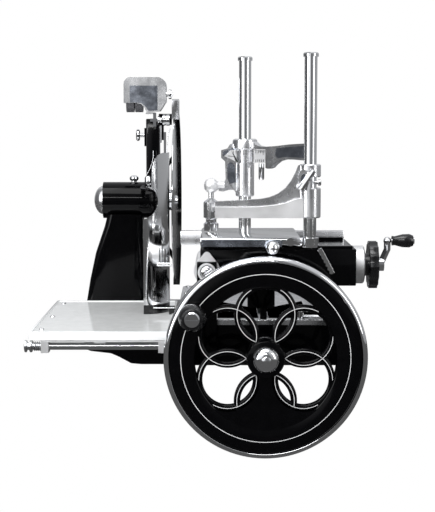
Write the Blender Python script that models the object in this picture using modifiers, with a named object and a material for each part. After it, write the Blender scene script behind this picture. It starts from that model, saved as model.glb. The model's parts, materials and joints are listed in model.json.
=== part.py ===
"""Hand crank meat slicer with a six-petal flywheel, modelled as separate pieces.

Frame: metres, +Z up, -Y towards the operator at the flywheel, +X towards the feed crank.
The origin is the centre of the base's underside, where the machine stands on its pedestal.
Names in _OUT count outwards from the base's side and _IN inwards. _AHEAD counts forward from the base's
front or the blade's edge, _SETBACK backward, and _FROM_BACK forward from the base's back.
"""
import math

import bmesh
import bpy
from mathutils import Matrix, Vector

# Clearances
GAP = 0.0003            # between pieces that rest on each other
RUN = 0.0005            # round a turning shaft
ROOM = 0.001            # beside a sliding piece
OVER = 0.004            # how far a cutter runs past what it cuts
MESH = 0.0004           # each gear stays this far inside its pitch cone

# Drawing of outlines
WELD = 0.00001          # points closer than this are one
FILL_TURN = 7.0         # the web is drawn turned so that no two hole corners are level

# Rounding of edges
FINE = 0.0008
SOFT = 0.002
ROUND_STEPS = 2

# Facets
SEG_BIG = 56
SEG = 32
SEG_MID = 20
SEG_SMALL = 16

# Base
BASE_W = 0.300
BASE_L = 0.460
BASE_H = 0.070
BASE_WALL = 0.010
BASE_ROUND = 0.016
COVER_T = 0.006
DECK_T = 0.0097
DECK_LIP = 0.002        # how far the deck's edge stands past the casting
SLOT_W = 0.016          # deck slot for the follower's stem
BOSS_R = 0.027
BOSS_NOSE_R = 0.024
BUSH_T = 0.003

# Flywheel
WHEEL_R = 0.170
WHEEL_Z = 0.028         # height of its axis
FACE_AHEAD = 0.09         # plane of its painted face
RIM_T = 0.0085          # bright ring, radial
RIM_W = 0.038
RIM_CROWN = 0.0045
RIM_LIP = 0.0025        # bright ring stands this far before the painted face
RIM_STEPS = 8
CROWN_POWER = 4
WEB_T = 0.013           # petal lattice thickness
WEB_BACK = 0.004        # the petals lie this far behind the ring's face
FELLOE_W = 0.030        # depth of the black ring
FELLOE_R = 0.118        # inner radius of the black ring
FELLOE_SKIRT = 0.010
PETALS = 6
FILLED_PETAL = 3        # the one at the bottom has no opening, nor have the corners beside it
PETAL_AT = 0.073        # petal centre from the axis
PETAL_IN = 0.042        # petal opening radius
PETAL_OUT = 0.053       # outer radius of its rib
HUB_R = 0.0315
HUB_L = 0.046
HUB_FRONT = 0.008
SHAFT_R = 0.0125
DOME_R = 0.0225
DOME_H = 0.016
DOME_SHARES = ((0.42, 1.0), (0.66, 0.92), (0.84, 0.72), (0.95, 0.45), (1.0, 0.18), (1.0, 0.0))
BOLT_R = 0.009
BOLT_H = 0.006
BOLT_SIDES = 6
HANDLE_AT = 0.142
HANDLE_ANGLE = 148.5
HANDLE_R = 0.0228
HANDLE_L = 0.050
HANDLE_SHARES = ((0.66, 1.0), (0.74, 0.985), (0.93, 0.86), (1.0, 0.68), (0.98, 0.45), (0.86, 0.2),
                 (0.78, 0.06), (0.74, 0.0))
STUD_R = 0.006
STUD_HEAD_R = 0.0125
STUD_HEAD_H = 0.005
STUD_COLLAR = 0.0045
STUD_SLOT_W = 0.0018
STUD_SLOT_SHARE = 0.5

# Drive inside the base
GEAR_R = 0.018
GEAR_FACE = 0.005
GEAR_TEETH = 12
TOOTH_H = 0.0018
TOOTH_SHARES = ((-0.42, 0), (-0.2, 1), (0.2, 1), (0.42, 0))
TAIL_R = 0.008          # main shaft behind the first gear
CRANK_SHARE = 0.1087
CRANK_R_SHARE = 0.23913
CRANK_RIM = 0.008
CRANK_DISC_SHARE = 0.146
CRANK_PIN_R = 0.005
CRANK_PIN_SHARE = 0.125
CRANK_SPINDLE_R = 0.007
ROD_L_SHARE = 0.31522           # connecting rod between its centres
ROD_SHARE = 0.1875
ROD_EYE_R = 0.010
ROD_W = 0.010
BRIDGE_SHARE = 0.208
BRIDGE_HALF = 0.034
BRIDGE_LEG = 0.007
BRIDGE_BACK = 0.008
PINION_R = 0.012
PINION_TEETH = 8
CROSS_FROM_BACK = 0.084
CROSS_R = 0.006
SPROCKET_LOW_R = 0.016
SPROCKET_HIGH_R = 0.008
SPROCKET_T = 0.005
SPROCKET_TEETH = 16
CHAIN_T = 0.0035
CHAIN_W = 0.007
CHAIN_OUT = 0.108

# Side bracket and column
BRACKET_TIP_OUT = 0.161
BRACKET_PAD_OUT = 0.202
BRACKET_FRONT_SETBACK = 0.01
BRACKET_TOP = 0.0515
BRACKET_WALL = 0.008
ARM_CORE_SHARE = 0.64
BRACKET_SHARES = ((0.0, 0.53), (0.07, 0.45), (0.29, 0.37), (0.38, 0.25), (0.51, 0.03), (0.62, 0.0),
                  (1.0, 0.0))
PAD_FRONT_FROM_BACK = 0.144
WELL_ROOM = 0.0035
WELL_FLOOR = 0.003
COLUMN_RIGHT_OUT = 0.0775
COLUMN_TOP = 0.238
COLUMN_WALL = 0.006
COLUMN_CORNER = 0.012
COLUMN_FOOT_W = 0.1165
COLUMN_FOOT_FRONT_FROM_BACK = 0.1235
COLUMN_FOOT_D = 0.105
COLUMN_TOP_W = 0.070
COLUMN_TOP_D = 0.070
COLUMN_SHARES = ((0.0, 1.0, 1.0), (0.08, 0.93, 0.96), (0.3, 0.78, 0.8), (0.59, 0.52, 0.4),
                 (0.88, 0.12, 0.1), (1.0, 0.0, 0.0))

# Blade and its housing
BLADE_FROM_BACK = 0.1
BLADE_Z = 0.265
BLADE_OUT = 0.0168       # left face
BLADE_T = 0.0032
BLADE_R = 0.160
BLADE_BEVEL = 0.012
BLADE_EDGE_SHARES = (0.55, 0.75)
SPINDLE_R = 0.006
SPINDLE_HUB_R = 0.025
SPINDLE_NECK_R = 0.019
NUT_R = 0.010
NUT_H = 0.004
HOUSING_R = 0.036
HOUSING_LEFT_OUT = 0.157
HOUSING_RIGHT_OUT = 0.049
HOUSING_WALL = 0.007
NOSE_SHARES = ((0.62, 0.0), (0.86, 0.12), (0.97, 0.27), (1.0, 0.42))
MOUTH_W = 0.034
CAP_R = 0.0283
CAP_L = 0.018
DOME_STEP = 15
OIL_OUT = 0.096
OIL_R = 0.0092
OIL_H = 0.013
OIL_SHARES = ((0.55, 0.95), (0.92, 0.75), (1.0, 0.5), (0.85, 0.25), (0.6, 0.15), (0.6, 0.0))
GUARD_CLEAR = 0.0025
GUARD_T = 0.0125
GUARD_LEFT_OUT = 0.0195
GUARD_W = 0.013
GUARD_FROM = 12.0       # degrees behind the top
GUARD_TO = 172.0
STAY_R = 0.005
STAY_ANGLES = (60.0, 140.0)
STAY_ROOT_OUT = 0.069
STAY_ROOT_SHARE = 0.9
STAY_REACH_SHARES = ((0.0, 0.0), (0.449, 0.35), (1.0, 1.0))
GUARD_CAP_T = 0.0375
GUARD_CAP_L = 0.060
GUARD_CAP_ROUND = 0.005
GUARD_CAP_STEP = 0.11   # degrees between cap and ring

# Slice deflector
SHEET_T = 0.0016
SHEET_LOW = 0.0825
SHEET_TOP = 0.363
SHEET_LEFT_OUT = 0.0665
SHEET_RIGHT_OUT = 0.02
SHEET_SHOULDER_OUT = 0.051
SHEET_FRONT_AHEAD = 0.044
SHEET_BACK_SETBACK = 0.01
SHEET_STEPS = 12
NOTCH_R = 0.033
NOTCH_OUT = 0.0725
NOTCH_Z = 0.274
CROWN_DROP = 0.038
CROWN_SHARE = 0.7
STRIP_W = 0.008
TIE_R = 0.005
TIE_Z = 0.292
TIE_OUT = 0.075
TIE_END_OUT = 0.034
LEVER_OUT = 0.027
LEVER_AHEAD = 0.032
LEVER_Z = 0.157
LEVER_R = 0.0032
LEVER_DOWN = 0.009
LEVER_UP = 0.029
LEVER_PIN_R = 0.004
LEVER_PIN_LEFT_OUT = 0.055
LEVER_PIN_RIGHT_OUT = 0.015

# Sharpener
POST_LEFT_OUT = 0.071
POST_RIGHT_OUT = 0.044
POST_D = 0.030
POST_LOW = 0.294
POST_TOP_RISE = 0.001
SWIVEL_R = 0.004
SWIVEL_DEPTH = 0.014
SHARP_LEFT_OUT = 0.114
SHARP_STEP_OUT = 0.0728
SHARP_RIGHT_OUT = 0.031
SHARP_TOP_RISE = 0.082
SHARP_LOW_LEFT_RISE = 0.033
SHARP_LOW_RIGHT_RISE = 0.0145
SHARP_D = 0.048
SHARP_WALL = 0.003
SHARP_ROUND = 0.014
SHARP_BOLT_R = 0.0102
SHARP_BOLT_RISE = 0.0515
SHARP_BOLT_END_OUT = 0.015
STONE_R = 0.019
STONE_SPACE = 0.002
STONE_SHAFT_R = 0.003
THUMB_R = 0.0115
THUMB_T = 0.007
THUMB_L = 0.020
THUMB_DROP = 0.031
THUMB_SHAFT_R = 0.004
THUMB_DEPTH = 0.008
ROLLER_STUD_R = 0.011
STRAP_OUT = 0.0435
STRAP_W = 0.007
STRAP_D = 0.016
STRAP_LOW_DROP = 0.041

# Tray
TRAY_LEFT_OUT = 0.2495
TRAY_RIGHT_OUT = 0.0085
TRAY_FRONT_AHEAD = 0.051
TRAY_BACK_FROM_BACK = 0.126
TRAY_Z = 0.0518
TRAY_T = 0.0150
TRAY_LIP = 0.006
TRAY_RIB = 0.008
TRAY_WALL = 0.0045
TRAY_SINK = 0.0015
TRAY_ROUND = 0.003
TRAY_ROD_R = 0.0062
TRAY_ROD_AHEAD = 0.042
TRAY_ROD_Z = 0.0410
TRAY_ROD_LEFT_OUT = 0.243
TRAY_ROD_RIGHT_OUT = 0.014
COLLAR_OUTS = (0.2215, 0.0235)
COLLAR_W = 0.013
COLLAR_D = 0.022
COLLAR_LOW = 0.031
CLIP_OUT = 0.1285
CLIP_W = 0.019
HANGER_T = 0.002
SPOOL_R = 0.0104
SPOOL_L = 0.014
SPOOL_SHARES = ((0.7, 1.0), (1.0, 0.93), (1.0, 0.72), (0.62, 0.6), (0.62, 0.42), (1.0, 0.3), (1.0, 0.08),
                (0.8, 0.0))
SPRING_TURNS = 4
SPRING_WIRE_R = 0.0008
SPRING_CLEAR = 0.0006
SPRING_STEPS = 9

# Carriage
RAIL_R = 0.016
RAIL_IN = 0.052
RAIL_Z = 0.166
RAIL_FRONT_AHEAD = 0.032
RAIL_BACK_FROM_BACK = 0.006
SUPPORT_T = 0.0125
SUPPORT_W = 0.034
SUPPORT_H = 0.040
RUNWAY_IN = 0.041
RUNWAY_W = 0.016
RUNWAY_TOP = 0.112
ROLLER_R = 0.012
ROLLER_W = 0.012
ROLLER_PIN_R = 0.004
BODY_LEFT_IN = 0.0405
BODY_RIGHT_OUT = 0.007
BODY_FRONT_AHEAD = 0.012
BODY_BACK_SHARE = -0.10435
BODY_LOW = 0.140
BODY_TOP = 0.203
BODY_WALL = 0.007
WAY_W = 0.014
WAY_H = 0.005
WAY_INSET = 0.006
SLEEVE_R = 0.0215
FLANGE_R = 0.0225
FLANGE_EAR = 0.027
FLANGE_EAR_R = 0.006
FLANGE_T = 0.005
BEAM_LEFT_IN = 0.001
BEAM_RIGHT_OUT = 0.005
BEAM_LOW = 0.192
BEAM_TOP = 0.218
BEAM_T = 0.018
FOLLOWER_LEFT = -0.028
FOLLOWER_RIGHT = 0.019
FOLLOWER_D = 0.034
FOLLOWER_LOW = 0.098
STEM_R = 0.006
STRIP_INS = (0.064, 0.041)
STRIP_ZS = (0.204, 0.161)
STRIP_HALF = 0.0045
STRIP_TEETH = 7
STRIP_T = 0.003
KNOB_PLATE_LEFT = -0.025
KNOB_PLATE_RIGHT = 0.051
KNOB_PLATE_LOW = 0.1975
KNOB_PLATE_TOP = 0.2075
KNOB_PLATE_OUT = 0.013
KNOB_SLOT_LOW = 0.2005
KNOB_SLOT_H = 0.005
KNOB_X = 0.012
KNOB_AHEAD = 0.0422
KNOB_Z = 0.209
KNOB_R = 0.0125
KNOB_NECK_R = 0.002
KNOB_TRAVEL = 0.014

# Feed
FEED_SHARE = -0.36957
FEED_Z = 0.169
FEED_R = 0.008
FEED_LEFT_IN = 0.086
FEED_BACK = 0.0401      # table travel towards the blade
FEED_OUT = 0.0801       # table travel away from it
NUT_W = 0.024
NUT_LOW = 0.156
RING_R = 0.0335
RING_L = 0.020
NECK_R = 0.020
NECK_L = 0.008
DIAL_R = 0.042
DIAL_L = 0.015
DIAL_LOBES = 14
DIAL_DEPTH = 0.003
DIAL_STEPS = 4
CRANK_HUB_R = 0.0115
CRANK_HUB_L = 0.012
CRANK_ROUTE = ((0.0, 0.0), (0.012, 0.027), (0.012, 0.042))
CRANK_BAR_R = 0.006
CRANK_END_R = 0.0069
GRIP_SHARES = ((0.78, 1.0), (1.0, 0.82), (0.96, 0.5), (0.66, 0.12), (0.72, 0.0))
GRIP_R = 0.012
GRIP_L = 0.037
GRIP_SET = 0.008
GRIP_PIN_R = 0.0032
GRIP_HEAD_R = 0.006
GRIP_HEAD_H = 0.002

# Table and meat clamp
TABLE_LEFT_IN = 0.0405
TABLE_RIGHT = 0.062
TABLE_FRONT_AHEAD = 0.0265
TABLE_INSET = 0.002
TABLE_LOW = 0.2085
TABLE_T = 0.0155
TABLE_ROUND = 0.003
BADGE_X = 0.0435
BADGE_R = 0.0072
BADGE_T = 0.004
BADGE_Z = 0.217
GUIDE_R = 0.0108
GUIDE_CAP_R = 0.0130
GUIDE_CAP_H = 0.007
GUIDE_TOP = 0.534
GUIDE_DEPTH = 0.010
GUIDE_XS = (-0.031, 0.076)
LEFT_GUIDE_SHARE = -0.27174
RIGHT_GUIDE_AHEAD = 0.025
BOSS2_R = 0.0155
BOSS2_LOW = 0.2080
SLIDER_R = 0.0165
SLIDER_LOW = 0.287
SLIDER_ARM = 0.354
SLIDER_ARM_TOP = 0.382
SLIDER_BLOCK = ((-0.058, -0.012), (0.369, 0.388))
SLIDER_BLOCK_D = 0.030
SCALE_X = (-0.068, 0.007)
SCALE_Z = (0.347, 0.370)
SCALE_T = 0.002
SCALE_POINT = 0.010
HORN_X = (-0.072, -0.046)
HORN_Z = (0.298, 0.375)
HORN_T = 0.018
BALL_X = -0.0915
BALL_Z = 0.306
BALL_R = 0.0135
FOOT_SHARES = ((0.35, 0.0), (0.35, 0.16), (0.62, 0.2), (1.0, 0.26), (1.0, 0.66), (0.7, 0.7), (0.7, 0.78),
               (0.98, 0.82), (0.98, 1.0))
FOOT_R = 0.0135
FOOT_TOP = 0.2945
FOOT_LOW = 0.2255
PRESS_OUTLINE = ((-0.084, 0.028), (-0.008, 0.031), (0.008, 0.034), (0.030, 0.047), (0.046, 0.063),
                 (0.059, 0.086), (0.076, 0.090), (0.080, 0.0))
PRESS_LOW = 0.258
PRESS_T = 0.028
PRESS_PLATE_BACK_SHARE = -0.33043
PRESS_PLATE_T = 0.012
PRESS_SLEEVE_R = 0.018
PRESS_TOP = 0.348
PRESS_NOTCH = (0.308, 0.327)
HANDLE_TIP = (0.022, 0.032)
HANDLE_BAR_R = 0.005
HANDLE_PIVOT_Z = 0.3065

# Carriage lock
LOCK_IN = 0.088
LOCK_SETBACK = 0.016
LOCK_L = 0.034
LOCK_R = 0.005
LOCK_HUB_R = 0.008
LOCK_HUB_H = 0.012

X_AXIS = Vector((1, 0, 0))
Y_AXIS = Vector((0, 1, 0))
Z_AXIS = Vector((0, 0, 1))

for old in list(bpy.data.objects):
    bpy.data.objects.remove(old)


def collection(name):
    made = bpy.data.collections.new(name)
    bpy.context.scene.collection.children.link(made)
    return made


PARTS = collection("hand_crank_meat_slicer")
CUTTERS = collection("cutters")


def material(name, colour, roughness, metallic):
    made = bpy.data.materials.new(name)
    made.use_nodes = True
    shader = made.node_tree.nodes["Principled BSDF"]
    shader.inputs["Base Color"].default_value = (*colour, 1)
    shader.inputs["Roughness"].default_value = roughness
    shader.inputs["Metallic"].default_value = metallic
    return made


BLACK = material("black_enamel", (0.012, 0.012, 0.013), 0.12, 0.0)
CHROME = material("chrome", (0.80, 0.81, 0.83), 0.08, 1.0)
ALLOY = material("polished_aluminium", (0.78, 0.79, 0.82), 0.18, 1.0)
STEEL = material("blade_steel", (0.72, 0.73, 0.75), 0.15, 1.0)
WHITE = material("white_enamel", (0.86, 0.88, 0.87), 0.15, 0.0)
RUBBERY = material("black_plastic", (0.02, 0.02, 0.021), 0.3, 0.0)
STONE = material("grinding_stone", (0.08, 0.08, 0.085), 0.9, 0.0)
BRONZE = material("bronze", (0.55, 0.38, 0.16), 0.3, 1.0)


def link(obj, mat, home=PARTS):
    home.objects.link(obj)
    if mat:
        obj.data.materials.append(mat)
    return obj


def smooth(obj, angle=40):
    obj.data.shade_smooth()
    obj.data.set_sharp_from_angle(angle=math.radians(angle))
    return obj


def from_bmesh(name, bm, mat, home=PARTS):
    mesh = bpy.data.meshes.new(name)
    bm.to_mesh(mesh)
    bm.free()
    return link(bpy.data.objects.new(name, mesh), mat, home)


def round_edges(obj, width, angle=30):
    mod = obj.modifiers.new("rounding", "BEVEL")
    mod.width = width
    mod.segments = ROUND_STEPS
    mod.limit_method = "ANGLE"
    mod.angle_limit = math.radians(angle)
    return obj


def box(name, low, high, mat, rounding=0, home=PARTS):
    """A box between two corners, its origin at its centre."""
    low, high = Vector(low), Vector(high)
    bm = bmesh.new()
    bmesh.ops.create_cube(bm, size=1)
    bmesh.ops.scale(bm, vec=high - low, verts=bm.verts)
    obj = from_bmesh(name, bm, mat, home)
    obj.location = (low + high) / 2
    if rounding:
        round_edges(obj, rounding)
    return obj


def turn_to(axis):
    """Rotation that takes +Z to an axis."""
    return Z_AXIS.rotation_difference(Vector(axis)).to_matrix().to_4x4()


def cylinder(name, start, axis, length, radius, mat, segments=SEG_MID, radius2=None, home=PARTS):
    """A cylinder or cone from a start point along an axis."""
    bm = bmesh.new()
    bmesh.ops.create_cone(bm, cap_ends=True, segments=segments, radius1=radius,
                          radius2=radius if radius2 is None else radius2, depth=length)
    bmesh.ops.translate(bm, vec=(0, 0, length / 2), verts=bm.verts)
    bmesh.ops.transform(bm, matrix=turn_to(axis), verts=bm.verts)
    obj = from_bmesh(name, bm, mat, home)
    obj.location = start
    return smooth(obj)


def turned(name, profile, start, axis, mat, segments=SEG, home=PARTS):
    """A turned piece: (radius, height) points from the top down the outer side, with a Screw modifier."""
    bm = bmesh.new()
    verts = [bm.verts.new((r, 0, z)) for r, z in profile]
    for a, b in zip(verts, verts[1:]):
        bm.edges.new((a, b))
    if profile[0][0] > 0 and profile[0] != profile[-1]:
        bm.edges.new((verts[-1], verts[0]))
    obj = from_bmesh(name, bm, mat, home)
    obj.rotation_mode = "QUATERNION"
    obj.rotation_quaternion = Z_AXIS.rotation_difference(Vector(axis))
    obj.location = start
    screw = obj.modifiers.new("turning", "SCREW")
    screw.axis = "Z"
    screw.steps = segments
    screw.render_steps = segments
    screw.use_merge_vertices = True
    screw.merge_threshold = WELD
    screw.use_smooth_shade = True
    return obj


def arc(centre, radius, start, stop, steps):
    """Points on an arc in the plane, degrees."""
    out = []
    for i in range(steps + 1):
        a = math.radians(start + (stop - start) * i / steps)
        out.append((centre[0] + radius * math.cos(a), centre[1] + radius * math.sin(a)))
    return out


def flat(name, outlines, thickness, matrix, mat, home=PARTS):
    """A plate from closed outlines in its own XY plane, the later ones holes, made a mesh."""
    curve = bpy.data.curves.new(name, "CURVE")
    curve.dimensions = "2D"
    curve.fill_mode = "BOTH"
    curve.extrude = thickness / 2
    for points in outlines:
        spline = curve.splines.new("POLY")
        spline.points.add(len(points) - 1)
        for p, (x, y) in zip(spline.points, points):
            p.co = (x, y, 0, 1)
        spline.use_cyclic_u = True
    guide = bpy.data.objects.new(name + "_guide", curve)
    CUTTERS.objects.link(guide)
    return to_mesh(guide, name, mat, home, matrix)


def to_mesh(guide, name, mat, home, matrix):
    """Turns a curve into a welded mesh object and removes the curve."""
    bpy.context.view_layer.update()
    graph = bpy.context.evaluated_depsgraph_get()
    mesh = bpy.data.meshes.new_from_object(guide.evaluated_get(graph))
    bm = bmesh.new()
    bm.from_mesh(mesh)
    bmesh.ops.remove_doubles(bm, verts=bm.verts, dist=WELD)
    bmesh.ops.recalc_face_normals(bm, faces=bm.faces)
    bm.to_mesh(mesh)
    bm.free()
    mesh.name = name
    mesh.materials.clear()
    obj = bpy.data.objects.new(name, mesh)
    obj.matrix_world = matrix @ guide.matrix_world
    bpy.data.objects.remove(guide)
    link(obj, mat, home)
    return obj


def tube(name, points, radius, mat, resolution=2, home=PARTS, cyclic=False):
    """A round bar along points, with filled caps, made a mesh."""
    curve = bpy.data.curves.new(name, "CURVE")
    curve.dimensions = "3D"
    curve.bevel_depth = radius
    curve.bevel_resolution = resolution
    curve.use_fill_caps = True
    spline = curve.splines.new("POLY")
    spline.points.add(len(points) - 1)
    for p, co in zip(spline.points, points):
        p.co = (*co, 1)
    spline.use_cyclic_u = cyclic
    guide = bpy.data.objects.new(name + "_guide", curve)
    CUTTERS.objects.link(guide)
    return smooth(to_mesh(guide, name, mat, home, Matrix()))


def facing(axis_x, axis_y, at):
    """Matrix whose own X and Y run along two directions, placed at a point."""
    ax, ay = Vector(axis_x), Vector(axis_y)
    az = ax.cross(ay)
    return Matrix.Translation(at) @ Matrix((ax, ay, az)).transposed().to_4x4()


def modify(obj, tool, operation):
    """Cuts, joins or limits an object by a tool that the build leaves out."""
    for home in list(tool.users_collection):
        home.objects.unlink(tool)
    CUTTERS.objects.link(tool)
    tool.hide_render = True
    tool.display_type = "WIRE"
    mod = obj.modifiers.new(operation.lower(), "BOOLEAN")
    mod.operation = operation
    mod.solver = "EXACT"
    mod.object = tool
    return obj


def cut(obj, *tools):
    for tool in tools:
        modify(obj, tool, "DIFFERENCE")
    return obj


def unite(obj, *tools):
    for tool in tools:
        modify(obj, tool, "UNION")
    return obj


def pivot(name, at):
    """An empty on a joint's axis."""
    empty = bpy.data.objects.new(name, None)
    empty.location = at
    empty.empty_display_size = HUB_R
    PARTS.objects.link(empty)
    return empty


def carry(parent, *objects):
    """Parents pieces to an empty and keeps them where they are."""
    bpy.context.view_layer.update()
    for obj in objects:
        place = obj.matrix_world.copy()
        obj.parent = parent
        obj.matrix_parent_inverse = parent.matrix_world.inverted()
        obj.matrix_world = place


def rounded_rectangle(half_x, half_y, radius, steps=4):
    points = []
    for sx, sy, start in ((1, 1, 0), (-1, 1, 90), (-1, -1, 180), (1, -1, 270)):
        centre = (sx * (half_x - radius), sy * (half_y - radius))
        points += arc(centre, radius, start, start + 90, steps)
    return points


def level(z):
    """Places a flat outline level at a height."""
    return facing(X_AXIS, Y_AXIS, (0, 0, z))


def upright(y):
    """Places a flat outline upright, its own Y up, at a depth."""
    return facing(X_AXIS, Z_AXIS, (0, y, 0))


def slab(name, outlines, low, high, mat, home=PARTS):
    """A level plate between two heights."""
    return flat(name, outlines, high - low, level((low + high) / 2), mat, home)


def panel(name, outlines, front, back, mat, home=PARTS):
    """An upright plate between two depths; its outline is in X and Z."""
    return flat(name, outlines, back - front, upright((front + back) / 2), mat, home)


def gear(name, apex, axis, radius, cone, face, teeth, bore, mat):
    """A bevel gear whose teeth point at the apex; cone is the distance from apex to its large end."""
    start = Vector(apex) - Vector(axis) * cone
    if cone > face:
        ends = ((0, radius - MESH), (face, radius * (cone - face) / cone - MESH))
    else:
        ends = ((0, radius), (face, radius))
    bm = bmesh.new()
    rings = []
    for height, tip in ends:
        outline = []
        for i in range(teeth):
            for share, full in TOOTH_SHARES:
                a = 2 * math.pi * (i + share) / teeth
                r = tip - TOOTH_H * (1 - full)
                outline.append((r * math.cos(a), r * math.sin(a)))
        count = len(outline)
        hole = [(bore * math.cos(2 * math.pi * k / count), bore * math.sin(2 * math.pi * k / count))
                for k in range(count)]
        rings.append([[bm.verts.new((x, y, height)) for x, y in ring] for ring in (outline, hole)])
    (r0, h0), (r1, h1) = rings
    for k in range(len(r0)):
        j = (k + 1) % len(r0)
        bm.faces.new((r0[k], r0[j], r1[j], r1[k]))
        bm.faces.new((h0[j], h0[k], h1[k], h1[j]))
        bm.faces.new((r0[j], r0[k], h0[k], h0[j]))
        bm.faces.new((r1[k], r1[j], h1[j], h1[k]))
    bmesh.ops.recalc_face_normals(bm, faces=bm.faces)
    bmesh.ops.transform(bm, matrix=turn_to(axis), verts=bm.verts)
    obj = from_bmesh(name, bm, mat)
    obj.location = start
    return obj


# Derived places
LEFT_SIDE, RIGHT_SIDE = -BASE_W / 2, BASE_W / 2
BASE_FRONT, BASE_BACK = -BASE_L / 2, BASE_L / 2

# Across, from the base's sides
BRACKET_TIP = LEFT_SIDE - BRACKET_TIP_OUT
BRACKET_PAD = LEFT_SIDE - BRACKET_PAD_OUT
COLUMN_RIGHT = LEFT_SIDE - COLUMN_RIGHT_OUT
CHAIN_X = LEFT_SIDE - CHAIN_OUT
BLADE_X = LEFT_SIDE - BLADE_OUT
HOUSING_LEFT = LEFT_SIDE - HOUSING_LEFT_OUT
HOUSING_RIGHT = LEFT_SIDE - HOUSING_RIGHT_OUT
OIL_X = LEFT_SIDE - OIL_OUT
GUARD_LEFT = LEFT_SIDE - GUARD_LEFT_OUT
STAY_ROOT_X = LEFT_SIDE - STAY_ROOT_OUT
SHEET_LEFT = LEFT_SIDE - SHEET_LEFT_OUT
SHEET_RIGHT = LEFT_SIDE - SHEET_RIGHT_OUT
SHEET_SHOULDER = LEFT_SIDE - SHEET_SHOULDER_OUT
NOTCH_X = LEFT_SIDE - NOTCH_OUT
TIE_X = LEFT_SIDE - TIE_OUT
TIE_END_X = LEFT_SIDE - TIE_END_OUT
LEVER_X = LEFT_SIDE - LEVER_OUT
LEVER_PIN_LEFT = LEFT_SIDE - LEVER_PIN_LEFT_OUT
LEVER_PIN_RIGHT = LEFT_SIDE - LEVER_PIN_RIGHT_OUT
POST_LEFT = LEFT_SIDE - POST_LEFT_OUT
POST_RIGHT = LEFT_SIDE - POST_RIGHT_OUT
SHARP_LEFT = LEFT_SIDE - SHARP_LEFT_OUT
SHARP_STEP = LEFT_SIDE - SHARP_STEP_OUT
SHARP_RIGHT = LEFT_SIDE - SHARP_RIGHT_OUT
SHARP_BOLT_END = LEFT_SIDE - SHARP_BOLT_END_OUT
STRAP_X = LEFT_SIDE - STRAP_OUT
TRAY_LEFT = LEFT_SIDE - TRAY_LEFT_OUT
TRAY_RIGHT = LEFT_SIDE - TRAY_RIGHT_OUT
TRAY_ROD_LEFT = LEFT_SIDE - TRAY_ROD_LEFT_OUT
TRAY_ROD_RIGHT = LEFT_SIDE - TRAY_ROD_RIGHT_OUT
CLIP_X = LEFT_SIDE - CLIP_OUT
RAIL_X = LEFT_SIDE + RAIL_IN
BODY_LEFT = LEFT_SIDE + BODY_LEFT_IN
BEAM_LEFT = LEFT_SIDE + BEAM_LEFT_IN
FEED_LEFT = LEFT_SIDE + FEED_LEFT_IN
TABLE_LEFT = LEFT_SIDE + TABLE_LEFT_IN
RUNWAY_X = RIGHT_SIDE - RUNWAY_IN
LOCK_X = RIGHT_SIDE - LOCK_IN
BODY_RIGHT = RIGHT_SIDE + BODY_RIGHT_OUT
BEAM_RIGHT = RIGHT_SIDE + BEAM_RIGHT_OUT
COLLAR_XS = [LEFT_SIDE - out for out in COLLAR_OUTS]

# Along, from the base's front and back and as shares of its length
FACE_Y = BASE_FRONT - FACE_AHEAD
RAIL_FRONT = BASE_FRONT - RAIL_FRONT_AHEAD
BODY_FRONT = BASE_FRONT - BODY_FRONT_AHEAD
TABLE_FRONT = BASE_FRONT - TABLE_FRONT_AHEAD
TRAY_FRONT = BASE_FRONT - TRAY_FRONT_AHEAD
TRAY_ROD_Y = BASE_FRONT - TRAY_ROD_AHEAD
BRACKET_FRONT = BASE_FRONT + BRACKET_FRONT_SETBACK
LOCK_Y = BASE_FRONT + LOCK_SETBACK
RAIL_BACK = BASE_BACK - RAIL_BACK_FROM_BACK
BLADE_Y = BASE_BACK - BLADE_FROM_BACK
CROSS_Y = BASE_BACK - CROSS_FROM_BACK
COLUMN_FOOT_FRONT = BASE_BACK - COLUMN_FOOT_FRONT_FROM_BACK
PAD_FRONT = BASE_BACK - PAD_FRONT_FROM_BACK
TRAY_BACK = BASE_BACK - TRAY_BACK_FROM_BACK
PAD_BACK = BASE_BACK
CRANK_Y = BASE_L * CRANK_SHARE
CRANK_R = BASE_L * CRANK_R_SHARE
ROD_L = BASE_L * ROD_L_SHARE
FEED_Y = BASE_L * FEED_SHARE
BODY_BACK = BASE_L * BODY_BACK_SHARE
PRESS_PLATE_BACK = BASE_L * PRESS_PLATE_BACK_SHARE
TABLE_BACK = BODY_BACK - TABLE_INSET
KNOB_Y = BODY_FRONT - KNOB_AHEAD
TRAVEL = 2 * CRANK_R
CRANK_DISC_R = CRANK_R + CRANK_RIM
GUIDES = ((GUIDE_XS[0], BASE_L * LEFT_GUIDE_SHARE), (GUIDE_XS[1], BASE_FRONT - RIGHT_GUIDE_AHEAD))

# Round the blade
BLADE_EDGE_Y = BLADE_Y - BLADE_R
BLADE_TOP = BLADE_Z + BLADE_R
SHEET_FRONT = BLADE_EDGE_Y - SHEET_FRONT_AHEAD
SHEET_BACK = BLADE_EDGE_Y + SHEET_BACK_SETBACK
LEVER_Y = BLADE_EDGE_Y - LEVER_AHEAD
GUARD_IN = BLADE_R + GUARD_CLEAR
GUARD_OUT = GUARD_IN + GUARD_T
GUARD_CAP_OUT = GUARD_IN + GUARD_CAP_T
SHARP_TOP = BLADE_TOP + SHARP_TOP_RISE
SHARP_LOW_LEFT = BLADE_TOP + SHARP_LOW_LEFT_RISE
SHARP_LOW_RIGHT = BLADE_TOP + SHARP_LOW_RIGHT_RISE
SHARP_BOLT_Z = BLADE_TOP + SHARP_BOLT_RISE
POST_TOP = BLADE_TOP + POST_TOP_RISE
THUMB_Z = BLADE_TOP - THUMB_DROP
STRAP_LOW = BLADE_TOP - STRAP_LOW_DROP
ROLLER_STUD_Z = BLADE_TOP

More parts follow.
